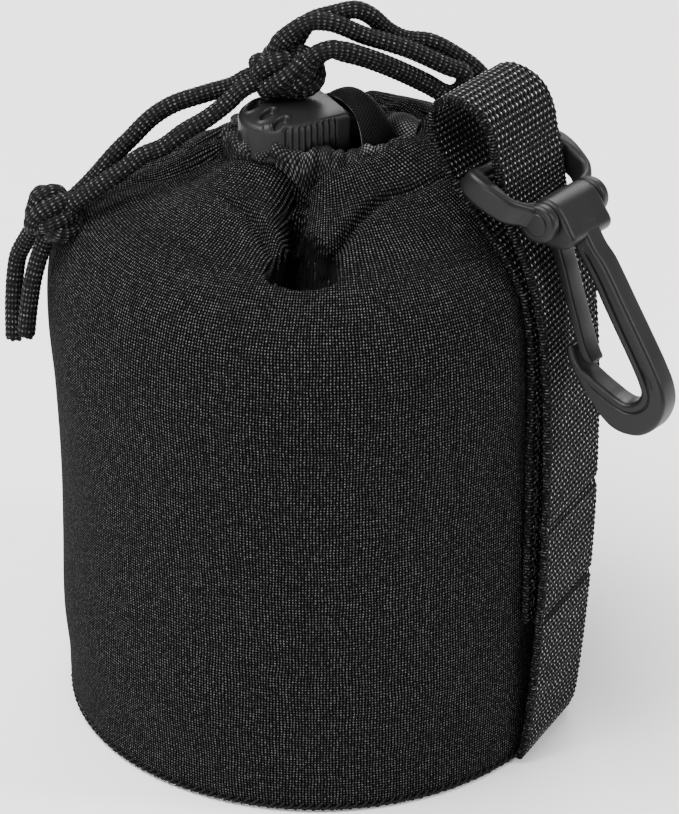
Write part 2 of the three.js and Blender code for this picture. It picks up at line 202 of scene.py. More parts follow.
# ------------------------------------------------------------------ materials
def new_mat(name):
    m = bpy.data.materials.new(name)
    m.use_nodes = True
    return m, m.node_tree, m.node_tree.nodes["Principled BSDF"]


def put(nt, sock, x):
    if isinstance(x, (int, float)):
        sock.default_value = x
    else:
        nt.links.new(x, sock)


def mth(nt, op, a, b=None, c=None):
    n = nt.nodes.new("ShaderNodeMath")
    n.operation = op
    for i, x in enumerate((a, b, c)):
        if x is not None:
            put(nt, n.inputs[i], x)
    return n.outputs[0]


def ramp(nt, fac, stops):
    r = nt.nodes.new("ShaderNodeValToRGB")
    el = r.color_ramp.elements
    while len(el) < len(stops):
        el.new(0.5)
    for e, (p, c) in zip(el, stops):
        e.position = p
        e.color = (c, c, c, 1)
    nt.links.new(fac, r.inputs[0])
    return r.outputs[0]


def uv_xy(nt):
    uv = nt.nodes.new("ShaderNodeUVMap")
    uv.uv_map = "UVMap"
    s = nt.nodes.new("ShaderNodeSeparateXYZ")
    nt.links.new(uv.outputs[0], s.inputs[0])
    return s.outputs[0], s.outputs[1]


def bump(nt, height, dist, strength, bsdf):
    b = nt.nodes.new("ShaderNodeBump")
    b.inputs["Strength"].default_value = strength
    b.inputs["Distance"].default_value = dist
    nt.links.new(height, b.inputs["Height"])
    nt.links.new(b.outputs[0], bsdf.inputs["Normal"])


def noise(nt, vec, scale, detail=2.0, rough=0.5):
    n = nt.nodes.new("ShaderNodeTexNoise")
    n.inputs["Scale"].default_value = scale
    n.inputs["Detail"].default_value = detail
    n.inputs["Roughness"].default_value = rough
    nt.links.new(vec, n.inputs["Vector"])
    return n.outputs["Fac"]


def obj_coord(nt):
    return nt.nodes.new("ShaderNodeTexCoord").outputs["Object"]


def wave(nt, x, pitch):
    """0..1, one hill every pitch mm."""
    return mth(nt, "MULTIPLY_ADD", mth(nt, "SINE", mth(nt, "MULTIPLY", x, TAU / pitch)), 0.5, 0.5)


def mapr(nt, x, a, b):
    n = nt.nodes.new("ShaderNodeMapRange")
    n.interpolation_type = "SMOOTHSTEP"
    n.inputs["From Min"].default_value = a
    n.inputs["From Max"].default_value = b
    nt.links.new(x, n.inputs["Value"])
    return n.outputs[0]


def mixed(nt, f, a, b):
    return mth(nt, "ADD", mth(nt, "MULTIPLY", a, mth(nt, "SUBTRACT", 1.0, f)), mth(nt, "MULTIPLY", b, f))


def neoprene_mat():
    m, nt, b = new_mat("neoprene_knit")
    u, v = uv_xy(nt)
    oc = obj_coord(nt)
    wob = noise(nt, oc, 130.0, 2.0)
    jit = noise(nt, oc, 1100.0, 2.0, 0.7)
    uu = mth(nt, "MULTIPLY_ADD", jit, 0.26, mth(nt, "MULTIPLY_ADD", wob, 0.9, u))
    vj = mth(nt, "MULTIPLY_ADD", jit, 0.22, v)
    # the knit's wales, kept about half a millimetre apart where the wall is gathered
    wale = mixed(nt, mapr(nt, v, 96.0, 106.0), wave(nt, uu, 0.52), wave(nt, uu, 0.80))
    wale = mixed(nt, mapr(nt, v, 112.0, 120.0), wale, wave(nt, uu, 1.30))
    cell = mth(nt, "MULTIPLY", wale, mth(nt, "MULTIPLY_ADD", wave(nt, vj, 0.50), 0.72, 0.28))
    fuzz = noise(nt, oc, 2600.0, 3.0, 0.7)
    # lint and filament glints, finer and denser than the wales
    speck = mapr(nt, noise(nt, oc, 2300.0, 2.0, 0.85), 0.38, 0.70)
    # the fold mask, by which shade is painted into the knit's colour
    fold_shade_mask = nt.nodes.new("ShaderNodeAttribute")
    fold_shade_mask.attribute_name = "fold_shade_mask"
    lum = mth(nt, "MULTIPLY", cell, mth(nt, "MULTIPLY_ADD", speck, 0.60, 0.52))
    lum = mth(nt, "MULTIPLY", lum, mth(nt, "SUBTRACT", 1.0, fold_shade_mask.outputs["Fac"]))      # painted shade: the knit's pattern is taken out deep in a fold, so the fold is painted dark
    # painted shade: a flat dark grey added deep in a fold, where the knit's pattern is taken out
    deep = mth(nt, "MULTIPLY", mth(nt, "MULTIPLY", fold_shade_mask.outputs["Fac"], fold_shade_mask.outputs["Fac"]), 0.006)
    shade = ramp(nt, lum, [(0.0, 0.0008), (0.2, 0.0032), (0.5, 0.022), (0.95, 0.135)])
    nt.links.new(mth(nt, "ADD", shade, deep), b.inputs["Base Color"])
    b.inputs["Roughness"].default_value = 0.95
    b.inputs["Specular IOR Level"].default_value = 0.02
    bump(nt, mth(nt, "MULTIPLY_ADD", fuzz, 0.4, cell), 0.00015, 0.9, b)
    return m


def tape_mat():
    m, nt, b = new_mat("tape_weave")
    u, v = uv_xy(nt)
    oc = obj_coord(nt)
    wob = noise(nt, oc, 260.0, 2.0)
    uu = mth(nt, "MULTIPLY", mth(nt, "MULTIPLY_ADD", wob, 0.3, u), math.pi / 0.34)
    vv = mth(nt, "MULTIPLY", mth(nt, "MULTIPLY_ADD", wob, 0.3, v), math.pi / 0.34)
    cell = mth(nt, "MULTIPLY_ADD", mth(nt, "MULTIPLY", mth(nt, "SINE", uu), mth(nt, "SINE", vv)), 0.5, 0.5)
    big = noise(nt, oc, 300.0, 2.0)
    fib = noise(nt, oc, 2400.0, 3.0, 0.7)
    hood_painted_shade = mth(nt, "MULTIPLY_ADD", mth(nt, "GREATER_THAN", u, 500.0), -0.55, 1.0)      # painted shade: the hood (u past 500) is the same tape darkened, with its specular lowered, as if shaded behind the lock
    lum = mth(nt, "MULTIPLY", mth(nt, "MULTIPLY", cell, mth(nt, "MULTIPLY_ADD", big, 1.3, 0.2)), hood_painted_shade)
    nt.links.new(ramp(nt, lum, [(0.12, 0.0012), (0.5, 0.008), (1.0, 0.16)]), b.inputs["Base Color"])
    b.inputs["Roughness"].default_value = 0.7
    nt.links.new(mth(nt, "MULTIPLY", hood_painted_shade, 0.14), b.inputs["Specular IOR Level"])
    bump(nt, mth(nt, "MULTIPLY_ADD", fib, 0.25, cell), 0.0002, 0.9, b)
    return m


def webbing_mat():
    m, nt, b = new_mat("webbing_rib")
    u, v = uv_xy(nt)           # u along the web, v across it
    oc = obj_coord(nt)
    row = mth(nt, "MULTIPLY", u, 1 / 1.05)
    rib = mth(nt, "ABSOLUTE", mth(nt, "SINE", mth(nt, "MULTIPLY", row, math.pi)))
    odd = mth(nt, "MULTIPLY", mth(nt, "FLOOR", row), 0.5)
    dash = mth(nt, "MULTIPLY_ADD", mth(nt, "SINE", mth(nt, "MULTIPLY", mth(nt, "MULTIPLY_ADD", v, 1 / 0.62, odd), TAU)), 0.5, 0.5)
    net = mth(nt, "POWER", wave(nt, mth(nt, "MULTIPLY_ADD", odd, 0.5, v), 1.24), 3.0)
    dash = mth(nt, "MULTIPLY", dash, mth(nt, "MULTIPLY_ADD", wave(nt, mth(nt, "MULTIPLY_ADD", odd, 1.24, v), 1.24), 0.75, 0.42))
    thin = mth(nt, "POWER", rib, 3.5)
    fib = noise(nt, oc, 2200.0, 3.0, 0.75)
    lum = mth(nt, "MULTIPLY", mth(nt, "MULTIPLY", thin, mth(nt, "MULTIPLY_ADD", dash, 0.97, 0.03)), mth(nt, "MULTIPLY_ADD", fib, 1.7, -0.1))
    lum = mth(nt, "ADD", lum, mth(nt, "MULTIPLY", mth(nt, "SUBTRACT", 1.0, thin), mth(nt, "MULTIPLY", net, 0.36)))
    selvedge = mth(nt, "GREATER_THAN", mth(nt, "ABSOLUTE", v), 9.35)
    loops = mapr(nt, noise(nt, oc, 2100.0, 2.0, 0.7), 0.42, 0.66)
    turn = mth(nt, "MULTIPLY", mth(nt, "MULTIPLY_ADD", loops, 0.75, 0.25), mth(nt, "MULTIPLY", wave(nt, u, 0.525), 0.55))
    lum = mixed(nt, selvedge, lum, turn)
    nt.links.new(ramp(nt, lum, [(0.0, 0.0008), (0.22, 0.004), (0.5, 0.06), (0.85, 0.62)]), b.inputs["Base Color"])
    b.inputs["Roughness"].default_value = 0.7
    b.inputs["Specular IOR Level"].default_value = 0.04
    bump(nt, mth(nt, "MULTIPLY_ADD", fib, 0.5, mth(nt, "MULTIPLY", dash, 0.4)), 0.00015, 0.8, b)
    return m


def cord_mat():
    m, nt, b = new_mat("cord_braid")
    u, v = uv_xy(nt)           # u round the cord, 0..1, v along it
    oc = obj_coord(nt)
    a = mth(nt, "MULTIPLY", u, TAU * 8)
    q = mth(nt, "MULTIPLY", v, TAU / 2.2)
    w = mth(nt, "MULTIPLY", mth(nt, "SINE", mth(nt, "ADD", a, q)), mth(nt, "SINE", mth(nt, "SUBTRACT", a, q)))
    fib = noise(nt, oc, 2600.0, 3.0, 0.75)
    lum = mth(nt, "MULTIPLY", mth(nt, "MULTIPLY_ADD", w, 0.5, 0.5), mth(nt, "MULTIPLY_ADD", fib, 1.9, -0.3))
    nt.links.new(ramp(nt, lum, [(0.0, 0.0008), (0.35, 0.003), (0.6, 0.022), (1.0, 0.30)]), b.inputs["Base Color"])
    b.inputs["Roughness"].default_value = 0.7
    b.inputs["Specular IOR Level"].default_value = 0.1
    bump(nt, mth(nt, "MULTIPLY_ADD", fib, 0.7, lum), 0.0002, 0.8, b)
    return m


def thread_mat():
    m, nt, b = new_mat("sewing_thread")
    fib = noise(nt, obj_coord(nt), 3200.0, 3.0, 0.8)
    nt.links.new(ramp(nt, fib, [(0.3, 0.003), (0.6, 0.008), (0.85, 0.03)]), b.inputs["Base Color"])
    b.inputs["Roughness"].default_value = 0.75
    b.inputs["Specular IOR Level"].default_value = 0.15
    bump(nt, fib, 0.00012, 0.7, b)
    return m


def plastic_mat():
    m, nt, b = new_mat("satin_plastic")
    oc = obj_coord(nt)
    grain = noise(nt, oc, 2600.0, 2.0, 0.6)
    cloud = noise(nt, oc, 90.0, 3.0)
    nt.links.new(ramp(nt, cloud, [(0.3, 0.0045), (0.7, 0.0070)]), b.inputs["Base Color"])
    nt.links.new(ramp(nt, cloud, [(0.25, 0.36), (0.75, 0.47)]), b.inputs["Roughness"])
    b.inputs["Specular IOR Level"].default_value = 0.22
    bump(nt, grain, 0.00003, 0.4, b)
    return m


def steel_mat():
    m, nt, b = new_mat("spring_steel")
    nt.links.new(ramp(nt, noise(nt, obj_coord(nt), 400.0, 2.0), [(0.3, 0.45), (0.7, 0.62)]), b.inputs["Base Color"])
    b.inputs["Metallic"].default_value = 1.0
    b.inputs["Roughness"].default_value = 0.3
    return m


NEO, TAPE, WEB, CORD, THREAD, PLASTIC, STEEL = (
    neoprene_mat(), tape_mat(), webbing_mat(), cord_mat(), thread_mat(), plastic_mat(), steel_mat())


def done(o, nodes, body):
    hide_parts(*nodes)
    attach(o, body)
    return o


# ------------------------------------------------------------------ camera, at the photograph's angle
cam_data = bpy.data.cameras.new("camera")
cam = bpy.data.objects.new("camera", cam_data)
SCENE.collection.objects.link(cam)
SCENE.camera = cam
cam.location = (0.2949, -0.55464, 0.40793)
cam.rotation_euler = Vector((-0.40441, 0.77124, -0.49156)).to_track_quat("-Z", "Y").to_euler()
cam_data.sensor_fit = "AUTO"
cam_data.sensor_width = 36.0
cam_data.lens = 187.8
cam_data.clip_start = 0.02
cam_data.clip_end = 20.0

# ------------------------------------------------------------------ cords
CORD_R = 1.5


def braid(P, bag, r=CORD_R - 0.04, closed=False, sides=40, pitch=1.85, strands=8):
    """A round braid along an evenly sampled path."""
    T, N, B = frames(P, closed)
    s = along(P)
    if closed:
        L = s[-1] + np.linalg.norm(P[-1] - P[0])
        e = unit(N[-1] - T[0] * (N[-1] @ T[0]))
        ang = math.atan2(np.cross(e, N[0]) @ T[0], e @ N[0]) * s / L
        N = N * np.cos(ang)[:, None] + B * np.sin(ang)[:, None]
        B = np.cross(T, N)
        pitch = L / max(1, round(L / pitch))
    phi = np.linspace(0, TAU, sides, endpoint=False)
    q = TAU * s[:, None] / pitch
    w = np.sin(strands * phi[None] + q) * np.sin(strands * phi[None] - q)
    R = r + 0.30 * (np.clip(0.5 + 0.5 * w, 0, 1) ** 0.6 - 0.66)
    G = P[:, None] + R[..., None] * (np.cos(phi)[None, :, None] * N[:, None] + np.sin(phi)[None, :, None] * B[:, None])
    ss = (np.append(s, L) if closed else s) * 2.2 / pitch
    W, U = np.meshgrid(ss, np.linspace(0, 1, sides + 1), indexing="ij")
    base = bag.n
    bag.grid(G, closed, True, U, W, flip=True)
    if not closed:
        bag.fan(base + np.arange(sides), P[0] - T[0] * 0.3)
        bag.fan(base + (len(P) - 1) * sides + np.arange(sides), P[-1] + T[-1] * 0.3, flip=True)


def yarn(Q, r, bag, sides=8, closed=False):
    T, N, B = frames(Q, closed)
    phi = np.linspace(0, TAU, sides, endpoint=False)
    G = Q[:, None] + r * (np.cos(phi)[None, :, None] * N[:, None] + np.sin(phi)[None, :, None] * B[:, None])
    s = along(Q)
    if closed:
        s = np.append(s, s[-1] + 0.2)
    U, W = np.meshgrid(s, np.linspace(0, 1, sides + 1), indexing="ij")
    base = bag.n
    bag.grid(G, closed, True, U, W, flip=True)
    if not closed:
        bag.fan(base + np.arange(sides), Q[0] - T[0] * r * 0.6)
        bag.fan(base + (len(Q) - 1) * sides + np.arange(sides), Q[-1] + T[-1] * r * 0.6, flip=True)


LOOP_OUT = [
    [-3.2, -0.8, 121.6], [-2.2, 1.4, 123.8], [1.7, 2.6, 125.6], [4.6, 4.6, 126.1], [6.3, 6.2, 124.9], [8.6, 8.8, 121.4],
    [10.7, 10.4, 119.9], [14.2, 12.4, 119.3], [17.5, 14.7, 116.9], [20.4, 17.2, 113.6], [21.4, 18.8, 110.4], [20.2, 18.0, 107.8],
    [17.2, 15.0, 108.8], [13.98, 11.5, 112.02], [10.58, 7.3, 115.52], [7.18, 3.2, 118.52], [4.08, 0.5, 120.12], [2.9, -0.5, 120.9],
]
LOOP_IN = [
    [-4.2, -5.4, 122.3], [-2.3, -3.9, 124.3], [-0.1, -2.4, 125.7], [2.9, -0.6, 125.5], [7.2, 2.6, 122.9], [10.6, 4.8, 121.4],
    [12.8, 6.2, 120.4], [15.0, 7.7, 119.1], [18.4, 10.4, 116.6], [20.19, 12.19, 115.29], [20.51, 12.71, 113.94],
    [20.06, 12.6, 112.33], [18.96, 11.8, 111.36], [17.85, 10.82, 111.6], [15.6, 8.4, 114.0], [12.2, 4.2, 117.5], [8.8, 0.1, 120.5], [5.7, -2.6, 122.1], [3.1, -4.4, 122.0],
]
L_UP = [[-9.6, -6.0, 115.4], [-11.6, -7, 114], [-15.6, -9.4, 112.6], [-20.2, -12.2, 110.8], [-23, -14.2, 108.7],
        [-25.8, -16.7, 105.2], [-27.5, -18.1, 103.1], [-29.8, -20.4, 99.7], [-30.9, -22.4, 98.0]]
L_LO = [[-8.3, -10.2, 115.3], [-10.3, -11.9, 113.0], [-12.9, -14.2, 110.6], [-15.8, -16.4, 108.6], [-18.4, -18.7, 106.3],
        [-21.3, -20.8, 104.9], [-23.8, -23.1, 102.6], [-26, -25, 100.8], [-28.2, -26.3, 99.0]]
TAIL_A = [[-38.7, -26.6, 90.3], [-40.6, -26.3, 87.4], [-42.1, -26.4, 84.4], [-42.5, -26.9, 81.2], [-42.4, -27.9, 76.6], [-42.0, -28.9, 70.5]]
TAIL_B = [[-35.6, -28.9, 89.0], [-36.2, -29.6, 86.6], [-36.7, -30.5, 83.6], [-37.1, -31.1, 80.2], [-37.3, -31.7, 77.0], [-37.4, -32.3, 73.7]]
KNOT1, KNOT2 = V3(-3.0, -5.2, 117.3), V3(-34.1, -27.8, 94.3)


def knot(name, node_name, centre, axes, basis, turns):
    """An overhand knot in doubled cord, pulled tight: pressed trefoils that lie in each other."""
    bag = Bag()
    X, Y, Z = [unit(b) for b in basis]
    for rot, sc, tz, r in turns:
        t = np.linspace(0, TAU, 1200, endpoint=False)
        a = 2 * t + rot
        rad = (2.0 + np.cos(3 * t)) / 3.0
        p = np.stack([rad * np.cos(a) * (axes[0] - r) * sc, rad * np.sin(a) * (axes[1] - r) * sc,
                      np.sin(3 * t) * (axes[2] - r) * 0.95 + tz], -1)
        P = centre + p[:, :1] * X + p[:, 1:2] * Y + p[:, 2:3] * Z
        braid(even(np.vstack([P, P[:1]]), 0.24)[:-1], bag, r, closed=True)
    return done(bag.make(name, CORD), [node_name], "root")


EAST = unit((0.88, 0.47, 0.05))
K1Y = unit(np.cross((0, 0, 1), EAST))
knot1 = knot("lock_knot_tied", "lock_knot", KNOT1, (6.6, 4.7, 4.0), (EAST, K1Y, np.cross(EAST, K1Y)),
             [(0.3, 1.0, 0.0, 1.5), (1.35, 0.86, 0.6, 1.5), (2.4, 0.6, -0.5, 1.45)])
K2X = unit((0.82, 0.42, -0.38))
K2Y = unit(np.cross((0.1, 0.75, 0.65), K2X))
knot2 = knot("end_knot_tied", "end_knot", KNOT2, (5.4, 4.5, 4.4), (K2X, K2Y, np.cross(K2X, K2Y)),
             [(0.1, 1.0, 0.0, 1.45), (1.2, 0.84, 0.5, 1.45), (2.2, 0.55, 0.0, 1.4)])


def free_cord(name, nodes, pts, cut=False):
    P = catmull(pts, 0.22)
    bag = Bag()
    braid(P, bag)
    if cut:                                          # the cut end: a few splayed yarns
        T, N, B = frames(P)
        for k in range(9):
            a = TAU * k / 9 + 0.4
            side = math.cos(a) * N[-1] + math.sin(a) * B[-1]
            p0 = P[-4] + (0.85 if k else 0.0) * side
            L = 0.1 + 0.5 * RNG.random()
            yarn(catmull([p0, p0 + T[-1] * (0.7 + 0.4 * L) + side * 0.06, p0 + T[-1] * (0.8 + L) + side * (0.05 + 0.2 * RNG.random())], 0.25), 0.42, bag)
    o = done(bag.make(name, CORD), nodes, "root")
    L = float(along(P)[-1])
    return L


lengths = {}
# the doubled carrying loop, out of the first knot and back into it
lengths["carry_loop_outer"] = free_cord(
    "carry_loop_outer_cord", ["carry_loop_outer"], [[-3.6, -2.6, 119.6]] + LOOP_OUT + [[0.9, -2.6, 119.6]])
lengths["carry_loop_inner"] = free_cord(
    "carry_loop_inner_cord", ["carry_loop_inner"], [[-4.6, -6.2, 119.9]] + LOOP_IN + [[0.6, -5.4, 119.6]])
# two strands down to the second knot, through it, and the two cut ends
lengths["left_strand_upper_and_tail_a"] = free_cord(
    "left_strand_upper_cord", ["left_strand_upper", "cord_tail_a"],
    [[-6.8, -5.4, 116.6]] + L_UP + [[-32.6, -24.8, 95.9], [-34.9, -26.2, 93.4], [-36.9, -26.9, 91.9]] + TAIL_A, True)
lengths["left_strand_lower_and_tail_b"] = free_cord(
    "left_strand_lower_cord", ["left_strand_lower", "cord_tail_b"],
    [[-6.0, -8.0, 116.6]] + L_LO + [[-31.0, -27.4, 96.6], [-33.2, -28.3, 93.8], [-34.7, -28.6, 91.4]] + TAIL_B, True)

# the part of the drawstring inside the casing and up through the lock
LOCK_U, LOCK_V, LOCK_C = unit((0.5315, 0.8471, 0)), unit((0.8471, -0.5315, 0)), V3(-0.6, -8.3, 109.3)
MOUTH = V3(2.0, -1.5, 0)


def ring_point(deg, r, z):
    a = math.radians(-122 + deg)
    return MOUTH + V3(r * math.cos(a), r * math.sin(a), z)


def lock_point(u, v, z):
    return LOCK_C + LOCK_U * u + LOCK_V * v + V3(0, 0, z)


for nm, node_name, pts, r in [
        ("drawstring_ring_cord", "drawstring_in_casing", [ring_point(d, 9.6, 103.4) for d in np.linspace(28, 332, 25)], CORD_R - 0.12),
        ("drawstring_riser_a_cord", "drawstring_riser_a",
         [ring_point(21.5, 9.6, 103.4), ring_point(16, 9.2, 103.1), V3(-0.6, -8.3, 102.7), V3(1.4, -7.0, 103.2),
          lock_point(2.6, 2.6, -4.4), lock_point(2.6, 2.6, -2), lock_point(2.6, 2.6, 3.6)], CORD_R - 0.04),
        ("drawstring_riser_b_cord", "drawstring_riser_b",
         [ring_point(-21.5, 9.6, 103.4), ring_point(-16, 9.2, 103.1), V3(-3.4, -6.0, 102.9), V3(-1.9, -5.0, 104.0),
          lock_point(2.6, -2.6, -3.6), lock_point(2.6, -2.6, -2), lock_point(2.6, -2.6, 3.6)], CORD_R - 0.04)]:
    bag = Bag()
    braid(catmull(pts, 0.3), bag, r)
    done(bag.make(nm, CORD), [node_name], "root")

# ------------------------------------------------------------------ neoprene body
OUTER = [(42.9, 0.9), (43.35, 1.6), (43.5, 3.4), (43.5, 6), (43.6, 9), (44.1, 16), (44.1, 30), (44.1, 45), (44.7, 62), (45.3, 72), (45.0, 80), (44.1, 85.4), (42.3, 90),
         (39.6, 93.3), (36.1, 96), (31.6, 98.5), (26.8, 101), (22.4, 103.3), (19.0, 105.0), (16.9, 106.3), (15.4, 107.0),
         (14.0, 107.0), (12.9, 106.4), (12.4, 105.2), (12.7, 103.7)]
INNER = [(14.5, 102.4), (17.5, 100.9), (26.0, 96.7), (31.0, 94.4), (35.0, 91.7), (38.4, 87.6), (40.6, 80.5),
         (41.0, 73), (39.9, 45), (39.8, 14), (38.2, 4.9)]
FLAT_X = [[4, 43.0], [70, 43.0], [78, 42.8], [84, 42.25], [89.5, 40.95], [94, 38.6], [98, 35.2]]
# how far the rim dips below the tape, and how far the shoulder at the back sags: angle, mm
DROP = [(-180, 0.8), (-168, 1.6), (-158, 3.4), (-150, 4.6), (-141, 4.4), (-132, 3.4), (-121, 1.8), (-110, 1.0), (-100, 1.3), (-92, 2.4),
        (-85, 3.7), (-79, 5.4), (-75.5, 6.0), (-72, 5.4), (-67, 4.1), (-60, 3.0), (-50, 1.8), (-40, 0.9), (-30, 0.4), (-20, 0), (-10, -1.1),
        (0, -1.3), (9, -0.5), (20, 0), (165, 0), (180, 0.8)]
SAG = [(-180, 4.6), (-165, 2.6), (-150, 0.4), (-140, 0), (95, 0), (115, 2.2), (135, 4.6), (155, 5.4), (180, 4.6)]
BULGE = [[96, 0.2], [98.5, 1.2], [101, 2.4], [103.5, 2.6], [105.5, 1.4], [107, 0.2]]
NTH = 760
THETA = np.linspace(-math.pi, math.pi, NTH, endpoint=False)


def oval(theta):
    """Radius of the mouth's rim."""
    f = theta - math.radians(35)
    return 17.2 * 12.9 / np.sqrt((12.9 * np.cos(f)) ** 2 + (17.2 * np.sin(f)) ** 2)


def body_base():
    prof = catmull(np.column_stack([OUTER, np.zeros(len(OUTER))]), 0.30)[:, :2]
    prof = prof[np.where(prof[:, 1] < 80, np.arange(len(prof)) % 4 == 0, True)]
    inner = [OUTER[-1]] + INNER
    inner = catmull(np.column_stack([inner, np.zeros(len(inner))]), 2.4)[1:, :2]
    full = np.vstack([prof, inner])
    m_out = len(prof)
    r = full[:, 0][None, :]
    z = full[:, 1][None, :]
    is_in = np.arange(len(full))[None, :] >= m_out
    skin = np.where(is_in, z + 4 * smooth(80, 92, z), z)
    th = THETA[:, None]
    # the wall's radius, turning oval towards the mouth
    k = np.where(is_in, smooth(30, 15, r) * smooth(94, 102, z), smooth(31, 16, r) * (z > 90))
    rr = r + (oval(th) - 15.0) * k
    side = np.clip(np.cos(th * 90 / 50), 0, None) * (np.abs(th) < math.radians(50))
    rr = rr + np.where(skin > 96, tab(BULGE, skin), 0) * side * side
    sh = smooth(88, 105.7, skin)
    x = rr * np.cos(th) + 2.0 * sh
    y = rr * np.sin(th) - 1.5 * sh
    zz = np.broadcast_to(z, x.shape).copy()
    lim = tab(FLAT_X, zz) - np.where(is_in, 4.0, 0)
    fade = 1 - smooth(10.8, 14.5, np.abs(y))
    x = x - fade * np.clip(x - lim, 0, None) * (zz < 98) * (x > 0)
    vv = along(full)
    return np.stack([x, y, zz], -1), m_out, vv


def crease_list():
    # points: angle, height, depth, half width; then the power of the side slope and the share of the ridge beside it
    c = [
        ([(-76.5, 106.6, 4.6, 1.5), (-75.6, 104.8, 5.6, 1.45), (-73.8, 102.8, 5.8, 1.25), (-71.6, 101.2, 5.6, 1.15),
          (-70.0, 99.9, 4.0, 1.4), (-68.8, 98.6, 1.0, 2.0), (-68.4, 98.0, 0.1, 2.4)], 1.7, 0.16),
        ([(-71.0, 102.6, 4.0, 0.9), (-70.2, 101.8, 8.0, 1.6), (-69.4, 101.0, 10.0, 2.5), (-68.7, 100.2, 10.5, 3.5), (-68.0, 99.5, 10.5, 4.5), (-67.5, 99.0, 10.5, 5.0)],
         6.0, 0.0),
        ([(-70.2, 97.8, 7.0, 2.6), (-72.8, 97.6, 7.0, 2.2)], 5.0, 0.0),
        ([(-65.0, 97.8, 7.0, 2.6), (-61.8, 97.6, 7.0, 2.2)], 5.0, 0.0),
        ([(-67.2, 95.0, 0.2, 4.5), (-67.4, 93.4, 0.6, 6.0), (-67.6, 90.4, 0.5, 8.0), (-67.8, 87, 0.2, 9.5), (-68, 83, 0.05, 11.0)], 2.3, 0.0),
        ([(-63.4, 97.6, 0.4, 1.8), (-61.8, 98.5, 1.6, 1.4), (-60.2, 99.3, 2.3, 1.2), (-57.4, 100.3, 2.3, 1.0), (-51.3, 102, 2.0, 0.9),
          (-42.0, 103.2, 1.6, 0.85), (-33.0, 103.8, 1.2, 0.8), (-16.7, 103.9, 0.8, 0.8), (2, 102.8, 0.4, 0.9)], 1.7, 0.16),
        ([(-75.2, 98.6, 0.6, 1.3), (-78.6, 100, 1.2, 1.0), (-83.4, 101.2, 1.4, 0.85), (-90.2, 102.3, 1.1, 0.8),
          (-97.9, 102.8, 0.8, 0.8), (-108.5, 103.0, 0.4, 0.85), (-118, 102.8, 0.1, 0.9)], 1.7, 0.2),
    ]
    for k, (a, d, dz) in enumerate([(-152, 1.2, 0), (-170, 2.6, 1), (171, 2.4, -1), (148, 3.3, 0), (122, 2.6, 1), (99, 3.4, 0),
                                    (74, 2.5, -1), (47, 3.0, 1)]):
        t = 3.0 * math.sin(2.3 * k)
        c.append(([(a + t * 0.3, 106.7, d, 1.3), (a, 104.8, d * 1.1, 1.3), (a - t * 0.4, 102.0, d, 1.5), (a - t * 0.8, 99.0 + dz, d * 0.7, 2.0),
                   (a - t, 96.0 + dz, d * 0.4, 3.0), (a - t, 92.0, d * 0.1, 4.5)], 1.7, 0.16))
    return c


def normals(P):
    n = np.cross(np.roll(P, -1, 0) - np.roll(P, 1, 0), np.gradient(P, axis=1))
    return n / np.maximum(np.linalg.norm(n, axis=2), 1e-9)[..., None]


